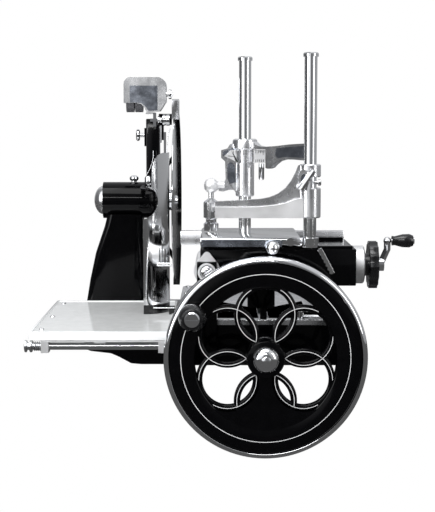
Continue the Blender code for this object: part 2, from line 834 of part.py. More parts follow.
# Thicknesses in the room above the gears
DRIVE_ROOM = BASE_H - WHEEL_Z - GEAR_R
BRIDGE_T = DRIVE_ROOM * BRIDGE_SHARE
CRANK_DISC_T = DRIVE_ROOM * CRANK_DISC_SHARE
CRANK_PIN_H = DRIVE_ROOM * CRANK_PIN_SHARE
ROD_T = DRIVE_ROOM * ROD_SHARE

DECK_LOW = BASE_H + GAP
DECK_TOP = DECK_LOW + DECK_T
HUB_BACK = FACE_Y - HUB_FRONT + HUB_L
STEM_Y = CRANK_Y - CRANK_R - ROD_L
BRIDGE_TOP = WHEEL_Z + GEAR_R + RUN + BRIDGE_T
DISC_LOW = BRIDGE_TOP + GAP
PIN_TOP = DISC_LOW + CRANK_DISC_T + CRANK_PIN_H
ROD_LOW = PIN_TOP + GAP
SIDE_X = -BASE_W / 2 - DECK_LIP - GAP
TRAY_TOP = TRAY_Z + TRAY_T
GUARD_X = GUARD_LEFT + GUARD_W / 2
TABLE_TOP = TABLE_LOW + TABLE_T
POST_X = (POST_LEFT + POST_RIGHT) / 2
DIAL_X = BODY_RIGHT + GAP + RING_L + GAP
CRANK_X = DIAL_X + NECK_L + DIAL_L + GAP


# Base
def make_base():
    half_x, half_y = BASE_W / 2, BASE_L / 2
    outer = rounded_rectangle(half_x, half_y, BASE_ROUND)
    inner = rounded_rectangle(half_x - BASE_WALL, half_y - BASE_WALL, BASE_ROUND - BASE_WALL)
    base = slab("base_casting", [outer, inner], 0, BASE_H, BLACK)
    nose = HUB_BACK + ROOM
    boss = cylinder("boss_tool", (0, nose, WHEEL_Z), Y_AXIS, BASE_FRONT + BASE_WALL / 2 - nose,
                    BOSS_NOSE_R, BLACK, SEG, BOSS_R)
    bore = cylinder("bore_tool", (0, nose - OVER, WHEEL_Z), Y_AXIS,
                    BASE_FRONT + BASE_WALL + 2 * OVER - nose, SHAFT_R + RUN + BUSH_T + GAP, BLACK)
    cross = cylinder("cross_tool", (-half_x - OVER, CROSS_Y, WHEEL_Z), X_AXIS, BASE_WALL + 2 * OVER,
                     CROSS_R + RUN, BLACK)
    unite(base, boss)
    cut(base, bore, cross)
    smooth(base)

    reach_x, reach_y = half_x - BASE_WALL - GAP, half_y - BASE_WALL - GAP
    cover = slab("base_cover", [rounded_rectangle(reach_x, reach_y, BASE_ROUND - BASE_WALL - GAP)], 0,
                 COVER_T, BLACK)

    outline = rounded_rectangle(half_x + DECK_LIP, half_y + DECK_LIP, BASE_ROUND + DECK_LIP)
    deck = slab("deck_plate", [outline], DECK_LOW, DECK_TOP, ALLOY)
    half_slot = SLOT_W / 2
    slot = box("slot_tool", (-half_slot, STEM_Y - half_slot, DECK_LOW - OVER),
               (half_slot, STEM_Y + TRAVEL + half_slot, DECK_TOP + OVER), ALLOY)
    cut(deck, slot)
    return base, cover, deck


def ring(name, start, axis, length, inner, outer, mat, segments=SEG_MID):
    return turned(name, [(outer, length), (outer, 0), (inner, 0), (inner, length)], start, axis, mat,
                  segments)


def make_bush():
    """Plain bearing of the main shaft in the base's nose."""
    nose = HUB_BACK + ROOM
    return ring("front_bush", (0, nose, WHEEL_Z), Y_AXIS, BASE_FRONT + BASE_WALL - nose, SHAFT_R + RUN,
                SHAFT_R + RUN + BUSH_T, BRONZE)


def make_bridge():
    """Bearing block on the base cover that carries the crank disc and the main shaft's tail."""
    low = COVER_T + GAP
    front, back = CRANK_Y - GEAR_R - GEAR_FACE, CRANK_Y + BRIDGE_HALF
    bridge = box("drive_bridge", (-BRIDGE_HALF, front, low), (BRIDGE_HALF, back, BRIDGE_TOP), BLACK)
    inside = box("inside_tool", (BRIDGE_LEG - BRIDGE_HALF, front - OVER, low - OVER),
                 (BRIDGE_HALF - BRIDGE_LEG, back - BRIDGE_BACK, BRIDGE_TOP - BRIDGE_T), BLACK)
    spindle = cylinder("spindle_tool", (0, CRANK_Y, WHEEL_Z), Z_AXIS, BASE_H, CRANK_SPINDLE_R + RUN, BLACK)
    tail = cylinder("tail_tool", (0, CRANK_Y, WHEEL_Z), Y_AXIS, BASE_L, TAIL_R + RUN, BLACK)
    cut(bridge, inside, spindle, tail)
    return smooth(bridge)


# Flywheel
def circle_meets(c0, r0, c1, r1):
    """The two points where circles meet."""
    c0, c1 = Vector(c0), Vector(c1)
    span = (c1 - c0).length
    along = (span * span + r0 * r0 - r1 * r1) / (2 * span)
    aside = math.sqrt(r0 * r0 - along * along)
    way = (c1 - c0) / span
    normal = Vector((-way.y, way.x))
    return c0 + way * along + normal * aside, c0 + way * along - normal * aside


def sweep(centre, radius, start, stop, steps, clockwise=False):
    """Arc points from one point to another round a centre."""
    a = math.degrees(math.atan2(start[1] - centre[1], start[0] - centre[0]))
    b = math.degrees(math.atan2(stop[1] - centre[1], stop[0] - centre[0]))
    if clockwise and b > a:
        b -= 360
    if not clockwise and b < a:
        b += 360
    return arc(centre, radius, a, b, steps)


def spin(points, degrees):
    c, s = math.cos(math.radians(degrees)), math.sin(math.radians(degrees))
    return [(c * x - s * y, s * x + c * y) for x, y in points]


def petal_opening():
    """Opening of the petal at angle 0: its circle less its neighbours' ribs."""
    own = (PETAL_AT, 0)
    upper = spin([own], 360 / PETALS)[0]
    lower = (upper[0], -upper[1])
    far, near = sorted(circle_meets(own, PETAL_IN, upper, PETAL_OUT), key=lambda v: -v.length)
    far_down, near_down = (far.x, -far.y), (near.x, -near.y)
    points = sweep(own, PETAL_IN, far_down, far, 12)
    points += sweep(upper, PETAL_OUT, far, near, 6, clockwise=True)[1:]
    points += sweep(own, PETAL_IN, near, near_down, 2)[1:]
    points += sweep(lower, PETAL_OUT, near_down, far_down, 6, clockwise=True)[1:-1]
    return points


def lens_opening():
    """Opening where the petals at angle 0 and one step on overlap."""
    own = (PETAL_AT, 0)
    upper = spin([own], 360 / PETALS)[0]
    far, near = sorted(circle_meets(own, PETAL_IN, upper, PETAL_IN), key=lambda v: -v.length)
    return sweep(own, PETAL_IN, far, near, 7) + sweep(upper, PETAL_IN, near, far, 7)[1:-1]


def spandrel_opening():
    """Small opening between two ribs and the black ring."""
    own = (PETAL_AT, 0)
    upper = spin([own], 360 / PETALS)[0]
    tip = max(circle_meets(own, PETAL_OUT, upper, PETAL_OUT), key=lambda v: v.length)
    edge = FELLOE_R + SOFT / 2
    low = max(circle_meets((0, 0), edge, own, PETAL_OUT), key=lambda v: v.y)
    high = max(circle_meets((0, 0), edge, upper, PETAL_OUT), key=lambda v: v.x)
    points = sweep((0, 0), edge, low, high, 3)
    points += sweep(upper, PETAL_OUT, high, tip, 3, clockwise=True)[1:]
    points += sweep(own, PETAL_OUT, tip, low, 3, clockwise=True)[1:-1]
    return points


def make_flywheel():
    centre = Vector((0, FACE_Y, WHEEL_Z))
    outline = spin(arc((0, 0), FELLOE_R + SOFT, 0, 360, SEG_BIG)[:-1], FILL_TURN)
    holes = []
    for i in range(PETALS):
        angle = FILL_TURN + 90 + i * 360 / PETALS
        if i != FILLED_PETAL:
            holes.append(spin(petal_opening(), angle))
        holes.append(spin(lens_opening(), angle))
        if i not in (FILLED_PETAL - 1, FILLED_PETAL):
            holes.append(spin(spandrel_opening(), angle))
    place = facing(X_AXIS, Z_AXIS, centre + Y_AXIS * (WEB_BACK + WEB_T / 2))
    place = place @ Matrix.Rotation(math.radians(-FILL_TURN), 4, "Z")
    wheel = flat("flywheel_casting", [outline] + holes, WEB_T, place, BLACK)
    outer = WHEEL_R - RIM_T - GAP
    web_end = WEB_BACK + WEB_T
    profile = [(outer - SOFT, 0), (outer, -SOFT), (outer, -FELLOE_W), (outer - FELLOE_SKIRT, -FELLOE_W),
               (FELLOE_R + 2 * SOFT, -web_end - 2 * SOFT), (FELLOE_R, -web_end - SOFT),
               (FELLOE_R, -WEB_BACK / 2), (FELLOE_R + SOFT, 0)]
    felloe = turned("felloe_tool", profile, centre, -Y_AXIS, BLACK, SEG_BIG)
    hub = turned("hub_tool", [(0, HUB_FRONT), (HUB_R - SOFT, HUB_FRONT), (HUB_R, HUB_FRONT - SOFT),
                              (HUB_R, HUB_FRONT - HUB_L), (0, HUB_FRONT - HUB_L)], centre, -Y_AXIS, BLACK)
    bore = cylinder("wheel_bore_tool", centre - Y_AXIS * (HUB_FRONT + OVER), Y_AXIS, HUB_L + 2 * OVER,
                    SHAFT_R + GAP, BLACK)
    stud = handle_place()
    stud_bore = cylinder("stud_bore_tool", stud - Y_AXIS * OVER, Y_AXIS, FELLOE_W + 2 * OVER, STUD_R + GAP,
                         BLACK, SEG_SMALL)
    unite(wheel, felloe, hub)
    cut(wheel, bore, stud_bore)
    smooth(wheel)

    crown = []
    for i in range(RIM_STEPS + 1):
        t = i / RIM_STEPS
        lift = RIM_CROWN * (1 - (2 * t - 1) ** CROWN_POWER)
        crown.append((WHEEL_R - RIM_CROWN + lift, RIM_LIP - t * RIM_W))
    inner = [(WHEEL_R - RIM_T, RIM_LIP - RIM_W), (WHEEL_R - RIM_T, RIM_LIP)]
    rim = turned("flywheel_rim", crown + inner, centre, -Y_AXIS, CHROME, SEG_BIG)

    dome_at = centre - Y_AXIS * (HUB_FRONT + GAP)
    dome = [(0, DOME_H)] + [(DOME_R * r, DOME_H * h) for r, h in DOME_SHARES] + [(0, 0)]
    cap = turned("hub_dome", dome, dome_at, -Y_AXIS, CHROME)
    bolt = cylinder("hub_bolt_tool", dome_at - Y_AXIS * (DOME_H - SOFT), -Y_AXIS, BOLT_H + SOFT, BOLT_R,
                    CHROME, BOLT_SIDES)
    round_edges(bolt, FINE)
    unite(cap, bolt)
    return wheel, rim, cap


def make_main_shaft():
    """Stepped shaft behind the flywheel with its two bevel gears, one node."""
    start = FACE_Y - HUB_FRONT + GAP
    first = CRANK_Y - GEAR_R
    second = CROSS_Y - PINION_R
    end = second + GEAR_FACE / 2
    profile = [(0, end - start), (CROSS_R, end - start), (CROSS_R, second - start),
               (TAIL_R, second - start - GAP),
               (TAIL_R, first - start), (SHAFT_R, first - start - GAP), (SHAFT_R, 0), (0, 0)]
    shaft = turned("main_shaft", profile, (0, start, WHEEL_Z), Y_AXIS, STEEL, SEG_MID)
    first_gear = gear("first_bevel_tool", (0, CRANK_Y, WHEEL_Z), Y_AXIS, GEAR_R, GEAR_R, GEAR_FACE,
                      GEAR_TEETH, TAIL_R - SOFT, STEEL)
    second_gear = gear("second_bevel_tool", (0, CROSS_Y, WHEEL_Z), Y_AXIS, GEAR_R, PINION_R, GEAR_FACE,
                       GEAR_TEETH, CROSS_R - SOFT, STEEL)
    unite(shaft, first_gear, second_gear)
    return shaft


def handle_place():
    a = math.radians(HANDLE_ANGLE)
    return Vector((HANDLE_AT * math.cos(a), FACE_Y, WHEEL_Z + HANDLE_AT * math.sin(a)))


def make_wheel_handle():
    at = handle_place()
    grip = [(STUD_R + RUN, HANDLE_L)]
    grip += [(HANDLE_R * r, HANDLE_L * h) for r, h in HANDLE_SHARES]
    grip += [(STUD_R + RUN, 0)]
    handle = turned("wheel_handle", grip, at - Y_AXIS * (STUD_COLLAR + GAP), -Y_AXIS, RUBBERY)
    top = STUD_COLLAR + HANDLE_L + 2 * GAP
    head = top + STUD_HEAD_H
    stud = [(0, head), (STUD_HEAD_R - SOFT, head), (STUD_HEAD_R, head - SOFT), (STUD_HEAD_R, top),
            (STUD_R, top),
            (STUD_R, STUD_COLLAR), (STUD_HEAD_R, STUD_COLLAR), (STUD_HEAD_R, GAP), (STUD_R, GAP),
            (STUD_R, -FELLOE_W), (0, -FELLOE_W)]
    pin = turned("wheel_handle_stud", stud, at, -Y_AXIS, CHROME, SEG_MID)
    half = STUD_SLOT_W / 2
    slot = box("screw_slot_tool", (at.x - STUD_HEAD_R, FACE_Y - head - OVER, at.z - half),
               (at.x + STUD_HEAD_R, FACE_Y - head + STUD_HEAD_H * STUD_SLOT_SHARE, at.z + half), CHROME)
    cut(pin, slot)
    return handle, pin


# Drive
def make_crank_disc():
    """Disc with its spindle, its pin under the connecting rod and its bevel gear."""
    top = DISC_LOW + CRANK_DISC_T
    low = WHEEL_Z + GEAR_R - GEAR_FACE
    profile = [(0, top - low), (CRANK_DISC_R, top - low), (CRANK_DISC_R, DISC_LOW - low),
               (CRANK_SPINDLE_R, DISC_LOW - low), (CRANK_SPINDLE_R, 0), (0, 0)]
    disc = turned("crank_disc", profile, (0, CRANK_Y, low), Z_AXIS, STEEL, SEG)
    pin = cylinder("pin_tool", (0, CRANK_Y - CRANK_R, DISC_LOW + CRANK_DISC_T / 2), Z_AXIS,
                   PIN_TOP - DISC_LOW - CRANK_DISC_T / 2, CRANK_PIN_R, STEEL, SEG_SMALL)
    bevel = gear("crank_bevel_tool", (0, CRANK_Y, WHEEL_Z), -Z_AXIS, GEAR_R, GEAR_R, GEAR_FACE, GEAR_TEETH,
                 CRANK_SPINDLE_R - SOFT, STEEL)
    unite(disc, pin, bevel)
    return disc


def make_cross_shaft():
    """Cross shaft with its bevel pinion and the lower sprocket, one node."""
    start = GEAR_FACE + ROOM - GEAR_R
    end = CHAIN_X - SPROCKET_T
    shaft = cylinder("cross_shaft", (start, CROSS_Y, WHEEL_Z), -X_AXIS, start - end, CROSS_R, STEEL)
    pinion = gear("pinion_tool", (0, CROSS_Y, WHEEL_Z), X_AXIS, PINION_R, GEAR_R, GEAR_FACE, PINION_TEETH,
                  CROSS_R - SOFT, STEEL)
    sprocket = gear("sprocket_tool", (CHAIN_X - SPROCKET_T / 2, CROSS_Y, WHEEL_Z), X_AXIS, SPROCKET_LOW_R,
                    0, SPROCKET_T, SPROCKET_TEETH, CROSS_R - SOFT, STEEL)
    unite(shaft, pinion, sprocket)
    return shaft


def make_chain():
    """The chain as one closed band round both sprockets."""
    rise = BLADE_Z - WHEEL_Z
    run = BLADE_Y - CROSS_Y
    r_low, r_high = SPROCKET_LOW_R + RUN, SPROCKET_HIGH_R + RUN
    span = math.hypot(rise, run)
    lean = math.degrees(math.asin((r_low - r_high) / span))
    tilt = math.degrees(math.atan2(-run, rise))
    outlines = []
    for extra in (CHAIN_T, 0):
        points = arc((0, 0), r_low + extra, 180 - lean, 360 + lean, 14)
        points += arc((0, span), r_high + extra, lean, 180 - lean, 12)
        outlines.append(spin(points, tilt))
    return flat("blade_chain", outlines, CHAIN_W, facing(Y_AXIS, Z_AXIS, (CHAIN_X, CROSS_Y, WHEEL_Z)),
                STEEL)


# Side bracket and column
def make_bracket():
    """Casting beside the base: a sloping arm under the tray and a pad under the column."""
    span = SIDE_X - BRACKET_TIP
    lower = [(BRACKET_TIP + span * x, BRACKET_TOP * z) for x, z in BRACKET_SHARES]
    outline = [(SIDE_X, BRACKET_TOP), (BRACKET_TIP, BRACKET_TOP)] + lower
    bracket = panel("side_bracket", [outline], BRACKET_FRONT, PAD_FRONT + OVER, BLACK)
    pad = box("pad_tool", (BRACKET_PAD, PAD_FRONT, 0), (SIDE_X, PAD_BACK, BRACKET_TOP), BLACK, SOFT)
    half_x = CHAIN_W / 2 + WELL_ROOM
    half_y = SPROCKET_LOW_R + CHAIN_T + WELL_ROOM
    well = box("well_tool", (CHAIN_X - half_x, CROSS_Y - half_y, WELL_FLOOR),
               (CHAIN_X + half_x, CROSS_Y + half_y, BRACKET_TOP + OVER), BLACK)
    shaft = cylinder("shaft_hole_tool", (SIDE_X + OVER, CROSS_Y, WHEEL_Z), -X_AXIS,
                     SIDE_X + OVER - CHAIN_X + half_x + OVER, CROSS_R + RUN, BLACK)
    wall = BRACKET_WALL
    arm_core = box("arm_core_tool",
                   (BRACKET_TIP + span * ARM_CORE_SHARE + wall, BRACKET_FRONT + wall, -OVER),
                   (SIDE_X - wall, PAD_FRONT - wall, BRACKET_TOP - wall), BLACK)
    pad_core = box("pad_core_tool", (BRACKET_PAD + wall, PAD_FRONT + wall, -OVER),
                   (CHAIN_X - half_x - wall, PAD_BACK - wall, BRACKET_TOP - wall), BLACK)
    unite(bracket, pad)
    cut(bracket, well, shaft, arm_core, pad_core)
    return smooth(bracket)


def loft(name, sections, mat, home=PARTS):
    """Skin through rings with equal counts, closed at both ends."""
    bm = bmesh.new()
    rings = [[bm.verts.new(p) for p in section] for section in sections]
    for low, high in zip(rings, rings[1:]):
        for k in range(len(low)):
            j = (k + 1) % len(low)
            bm.faces.new((low[k], low[j], high[j], high[k]))
    bm.faces.new(list(reversed(rings[0])))
    bm.faces.new(rings[-1])
    bmesh.ops.recalc_face_normals(bm, faces=bm.faces)
    return smooth(from_bmesh(name, bm, mat, home))


def column_section(share, width_share, depth_share, inset):
    """One level of the column, its ring drawn in by an inset."""
    width = COLUMN_TOP_W + (COLUMN_FOOT_W - COLUMN_TOP_W) * width_share
    depth = COLUMN_TOP_D + (COLUMN_FOOT_D - COLUMN_TOP_D) * depth_share
    top_front = BLADE_Y - COLUMN_TOP_D / 2
    front = top_front + (COLUMN_FOOT_FRONT - top_front) * depth_share
    foot = BRACKET_TOP + GAP
    z = foot + (COLUMN_TOP - foot) * share
    if inset:
        z += OVER if share == 1 else -OVER if share == 0 else 0
    plan = rounded_rectangle(width / 2 - inset, depth / 2 - inset, COLUMN_CORNER - inset, 3)
    return [(COLUMN_RIGHT - width / 2 + x, front + depth / 2 + y, z) for x, y in plan]


def make_column():
    column = loft("column", [column_section(*shares, 0) for shares in COLUMN_SHARES], BLACK)
    core = loft("core_tool", [column_section(*shares, COLUMN_WALL) for shares in COLUMN_SHARES], BLACK)
    saddle = cylinder("saddle_tool", (HOUSING_LEFT - OVER, BLADE_Y, BLADE_Z), X_AXIS,
                      HOUSING_RIGHT - HOUSING_LEFT + 2 * OVER, HOUSING_R + GAP, BLACK, SEG_BIG)
    return cut(column, core, saddle)


# Blade and its housing
def housing_profile(extra):
    """Outer side of the housing from its rounded nose to its left end."""
    length = HOUSING_RIGHT - HOUSING_LEFT
    nose = [((HOUSING_R + extra) * r, length + extra - HOUSING_R * h) for r, h in NOSE_SHARES]
    return nose + [(HOUSING_R + extra, 0)]


def housing_tool(name):
    """The housing's outside with a gap, to fit what sits on it."""
    profile = [(0, HOUSING_RIGHT - HOUSING_LEFT + GAP)] + housing_profile(GAP) + [(0, 0)]
    return turned(name, profile, (HOUSING_LEFT, BLADE_Y, BLADE_Z), X_AXIS, BLACK)


def make_housing():
    length = HOUSING_RIGHT - HOUSING_LEFT
    bore = SPINDLE_R + RUN
    profile = [(bore, length)] + housing_profile(0) + [(bore, 0)]
    housing = turned("blade_housing", profile, (HOUSING_LEFT, BLADE_Y, BLADE_Z), X_AXIS, BLACK)
    chamber = cylinder("chamber_tool", (CHAIN_X - CHAIN_W, BLADE_Y, BLADE_Z), X_AXIS, 2 * CHAIN_W,
                       HOUSING_R - HOUSING_WALL, BLACK)
    mouth = box("mouth_tool", (CHAIN_X - CHAIN_W, BLADE_Y - MOUTH_W / 2, BLADE_Z - HOUSING_R - OVER),
                (CHAIN_X + CHAIN_W, BLADE_Y + MOUTH_W / 2, BLADE_Z), BLACK)
    cut(housing, chamber, mouth)

    cap = [(0, CAP_L)]
    cap += [(CAP_R * math.sin(math.radians(a)), CAP_L * math.cos(math.radians(a)))
            for a in range(DOME_STEP, 90, DOME_STEP)]
    cap += [(CAP_R, 0), (0, 0)]
    dome = turned("housing_cap", cap, (HOUSING_LEFT - GAP, BLADE_Y, BLADE_Z), -X_AXIS, CHROME)

    oil = [(0, OIL_H)] + [(OIL_R * r, OIL_H * h) for r, h in OIL_SHARES] + [(0, 0)]
    oil_cup = turned("oil_cup", oil, (OIL_X, BLADE_Y, BLADE_Z + HOUSING_R + GAP), Z_AXIS, CHROME, SEG_MID)
    return housing, dome, oil_cup


def make_blade():
    inner = SPINDLE_R + GAP
    low, high = BLADE_EDGE_SHARES
    profile = [(inner, BLADE_T), (BLADE_R - BLADE_BEVEL, BLADE_T), (BLADE_R, BLADE_T * high),
               (BLADE_R, BLADE_T * low), (BLADE_R - BLADE_BEVEL, 0), (inner, 0)]
    blade = turned("blade", profile, (BLADE_X, BLADE_Y, BLADE_Z), X_AXIS, STEEL, SEG_BIG)

    start = HOUSING_LEFT + 2 * GAP
    face = BLADE_X + BLADE_T + GAP
    end = face + NUT_H - start
    hub = (HOUSING_RIGHT + GAP - start, BLADE_X - GAP - start)
    wheel = (CHAIN_X - SPROCKET_T / 2 - start, CHAIN_X + SPROCKET_T / 2 - start)
    profile = [(0, end), (NUT_R - SOFT, end), (NUT_R, face - start), (SPINDLE_R, face - start),
               (SPINDLE_R, hub[1]), (SPINDLE_NECK_R, hub[1]), (SPINDLE_HUB_R, hub[0] + SOFT),
               (SPINDLE_HUB_R - SOFT, hub[0]), (SPINDLE_R, hub[0]), (SPINDLE_R, wheel[1]),
               (SPROCKET_HIGH_R, wheel[1]), (SPROCKET_HIGH_R, wheel[0]), (SPINDLE_R, wheel[0]),
               (SPINDLE_R, 0), (0, 0)]
    spindle = turned("blade_spindle", profile, (start, BLADE_Y, BLADE_Z), X_AXIS, CHROME, SEG_MID)
    return blade, spindle


def around(behind, radius, x):
    """A point round the blade's axis, by degrees behind the top."""
    a = math.radians(behind)
    return Vector((x, BLADE_Y + radius * math.sin(a), BLADE_Z + radius * math.cos(a)))


def make_guard():
    """Ring guard round the back of the blade with its two stays, and the cap on top of it."""
    points = arc((0, 0), GUARD_OUT, 90 - GUARD_FROM, 90 - GUARD_TO, 36)
    points += arc((0, 0), GUARD_IN, 90 - GUARD_TO, 90 - GUARD_FROM, 36)
    place = facing(Y_AXIS, Z_AXIS, (GUARD_X, BLADE_Y, BLADE_Z))
    guard = flat("blade_guard", [points], GUARD_W, place, BLACK)
    root, ring_r = HOUSING_R * STAY_ROOT_SHARE, GUARD_IN + GUARD_T / 2
    for behind in STAY_ANGLES:
        route = [around(behind, root + (ring_r - root) * r, STAY_ROOT_X + (GUARD_LEFT - STAY_ROOT_X) * x)
                 for r, x in STAY_REACH_SHARES]
        unite(guard, tube("stay_tool", route, STAY_R, BLACK, 1))
    cut(guard, housing_tool("guard_seat_tool"))
    smooth(guard)

    half = math.degrees(math.asin(GUARD_CAP_L / 2 / GUARD_IN))
    stop = GUARD_FROM - GUARD_CAP_STEP
    points = arc((0, 0), GUARD_CAP_OUT, 90 + half, 90 - stop, 8)
    points += arc((0, 0), GUARD_IN, 90 - stop, 90 + half, 8)
    cap = flat("guard_cap", [points], GUARD_W, place, ALLOY)
    round_edges(cap, GUARD_CAP_ROUND, 50)
    return guard, smooth(cap)


# Slice deflector
def sheet_route(offset):
    """Plan of the sheet from the blade round to its left end, moved out by an offset."""
    width = SHEET_RIGHT - SHEET_LEFT + offset
    depth = SHEET_BACK - SHEET_FRONT + offset
    points = []
    for i in range(SHEET_STEPS + 1):
        a = math.radians(90 * i / SHEET_STEPS)
        points.append((SHEET_LEFT + width * math.cos(a), SHEET_BACK - depth * math.sin(a)))
    return points


def make_deflector():
    band = sheet_route(0) + list(reversed(sheet_route(-SHEET_T)))
    sheet = slab("slice_deflector", [band], SHEET_LOW, SHEET_TOP, ALLOY)
    front, back = SHEET_FRONT - OVER, SHEET_BACK + OVER
    notch = cylinder("notch_tool", (NOTCH_X, front, NOTCH_Z), Y_AXIS, back - front, NOTCH_R, ALLOY, SEG)
    corner = box("corner_tool", (SHEET_LEFT - OVER, front, NOTCH_Z),
                 (SHEET_SHOULDER, back, SHEET_TOP + OVER), ALLOY)
    width = SHEET_RIGHT - SHEET_SHOULDER
    crown = [(SHEET_SHOULDER - OVER, SHEET_TOP - CROWN_DROP)]
    for a in range(0, 91, DOME_STEP):
        turn = math.radians(a)
        crown.append((SHEET_SHOULDER + width * CROWN_SHARE * (1 - math.cos(turn)),
                      SHEET_TOP - CROWN_DROP * (1 - math.sin(turn))))
    crown += [(SHEET_SHOULDER + width * CROWN_SHARE, SHEET_TOP + OVER),
              (SHEET_SHOULDER - OVER, SHEET_TOP + OVER)]
    crown_tool = panel("crown_tool", [crown], front, back, ALLOY)
    hole = cylinder("lever_hole_tool", (LEVER_PIN_LEFT - OVER, LEVER_Y, LEVER_Z), X_AXIS,
                    LEVER_PIN_RIGHT - LEVER_PIN_LEFT + 2 * OVER, LEVER_PIN_R + RUN, ALLOY, SEG_SMALL)
    cut(sheet, notch, corner, crown_tool, hole)
    smooth(sheet)

    strip = slab("deflector_foot", [sheet_route(0) + list(reversed(sheet_route(-STRIP_W)))],
                 TRAY_TOP - TRAY_SINK + GAP, SHEET_LOW - GAP, RUBBERY)

    route = [(TIE_X, BLADE_Y - HOUSING_R / 2, TIE_Z), (TIE_X, BLADE_Y - 2 * HOUSING_R, TIE_Z),
             (TIE_END_X, SHEET_BACK - HOUSING_R / 2, TIE_Z), (TIE_END_X, SHEET_FRONT, TIE_Z)]
    tie = tube("deflector_stay", route, TIE_R, BLACK, 1)
    outside = sheet_route(-SHEET_T - GAP) + [(SHEET_LEFT, SHEET_FRONT - 2 * OVER),
                                             (SHEET_RIGHT + OVER, SHEET_FRONT - 2 * OVER),
                       (SHEET_RIGHT + OVER, SHEET_BACK)]
    cut(tie, housing_tool("tie_seat_tool"), slab("tie_end_tool", [outside], SHEET_LOW, SHEET_TOP, BLACK))

    pin = cylinder("lever_pin_tool", (LEVER_PIN_LEFT, LEVER_Y, LEVER_Z), X_AXIS,
                   LEVER_PIN_RIGHT - LEVER_PIN_LEFT, LEVER_PIN_R, CHROME, SEG_SMALL)
    lever = tube("deflector_lever", [(LEVER_X, LEVER_Y, LEVER_Z - LEVER_DOWN),
                                     (LEVER_X, LEVER_Y, LEVER_Z + LEVER_UP)],
                 LEVER_R, CHROME, 1)
    unite(lever, pin)
    return sheet, strip, tie, lever


# Sharpener
def make_post():
    """Square post on the housing with the roller stud and strap beside its top."""
    half = POST_D / 2
    post = box("sharpener_post", (POST_LEFT, BLADE_Y - half, POST_LOW),
               (POST_RIGHT, BLADE_Y + half, POST_TOP),
               BLACK, SOFT)
    stud = cylinder("roller_stud_tool", (POST_RIGHT - SOFT, BLADE_Y, ROLLER_STUD_Z), X_AXIS,
                    GUARD_LEFT - ROOM - POST_RIGHT + SOFT, ROLLER_STUD_R, BLACK)
    strap = box("strap_tool", (STRAP_X - SOFT, BLADE_Y - STRAP_D / 2, STRAP_LOW),
                (STRAP_X + STRAP_W, BLADE_Y + STRAP_D / 2, ROLLER_STUD_Z), BLACK)
    swivel = cylinder("swivel_tool", (POST_X, BLADE_Y, POST_TOP - SWIVEL_DEPTH), Z_AXIS,
                      SWIVEL_DEPTH + OVER, SWIVEL_R + RUN, BLACK, SEG_SMALL)
    thumb = cylinder("thumb_hole_tool", (POST_LEFT - OVER, BLADE_Y, THUMB_Z), X_AXIS, THUMB_DEPTH + OVER,
                     THUMB_SHAFT_R + RUN, BLACK, SEG_SMALL)
    unite(post, stud, strap)
    cut(post, housing_tool("post_seat_tool"), swivel, thumb)
    return smooth(post)


def make_thumbscrew():
    reach = THUMB_L + THUMB_T
    profile = [(0, 0), (THUMB_SHAFT_R, 0), (THUMB_SHAFT_R, THUMB_L), (THUMB_R - SOFT, THUMB_L),
               (THUMB_R, THUMB_L + SOFT), (THUMB_R, reach - SOFT), (THUMB_R - SOFT, reach), (0, reach)]
    start = (POST_LEFT + THUMB_DEPTH - ROOM, BLADE_Y, THUMB_Z)
    return turned("sharpener_thumbscrew", list(reversed(profile)), start, -X_AXIS, CHROME, SEG_MID)


def make_sharpener():
    """Swivelling box, open below over the stones, with its bolt and swivel pin."""
    r = SHARP_ROUND
    outline = [(SHARP_RIGHT, SHARP_LOW_RIGHT)]
    outline += arc((SHARP_RIGHT - r, SHARP_TOP - r), r, 0, 90, 4)
    outline += arc((SHARP_LEFT + r, SHARP_TOP - r), r, 90, 180, 4)
    outline += [(SHARP_LEFT, SHARP_LOW_LEFT), (SHARP_STEP, SHARP_LOW_LEFT), (SHARP_STEP, SHARP_LOW_RIGHT)]
    front, back = BLADE_Y - SHARP_D / 2, BLADE_Y + SHARP_D / 2
    body = panel("sharpener_box", [outline], front, back, ALLOY)
    wall = SHARP_WALL
    room = box("stone_room_tool", (SHARP_LEFT + wall, front + wall, SHARP_LOW_LEFT - OVER),
               (SHARP_STEP - wall, back - wall, SHARP_LOW_LEFT + STONE_R + wall), ALLOY)
    bolt = cylinder("side_bolt_tool", (SHARP_RIGHT - SOFT, BLADE_Y, SHARP_BOLT_Z), X_AXIS,
                    SHARP_BOLT_END - SHARP_RIGHT + SOFT, SHARP_BOLT_R, ALLOY)
    swivel = cylinder("swivel_pin_tool", (POST_X, BLADE_Y, POST_TOP - SWIVEL_DEPTH + ROOM), Z_AXIS,
                      SHARP_LOW_RIGHT - POST_TOP + SWIVEL_DEPTH, SWIVEL_R, ALLOY, SEG_SMALL)
    unite(body, bolt, swivel)
    cut(body, room)
    smooth(body)

    left = SHARP_LEFT + wall + GAP
    right = SHARP_STEP - wall - GAP
    stone_t = (right - left - STONE_SPACE) / 2
    stones = ((right, STONE_SHAFT_R), (right - ROOM, STONE_SHAFT_R), (right - ROOM, STONE_R),
              (right - stone_t, STONE_R), (right - stone_t, STONE_SHAFT_R * 2),
              (left + stone_t, STONE_SHAFT_R * 2), (left + stone_t, STONE_R), (left + ROOM, STONE_R),
              (left + ROOM, STONE_SHAFT_R), (left, STONE_SHAFT_R))
    profile = [(0, right - left)] + [(r, x - left) for x, r in stones] + [(0, 0)]
    wheels = turned("sharpener_stones", profile, (left, BLADE_Y, SHARP_LOW_LEFT), X_AXIS, STONE, SEG_MID)
    return body, wheels


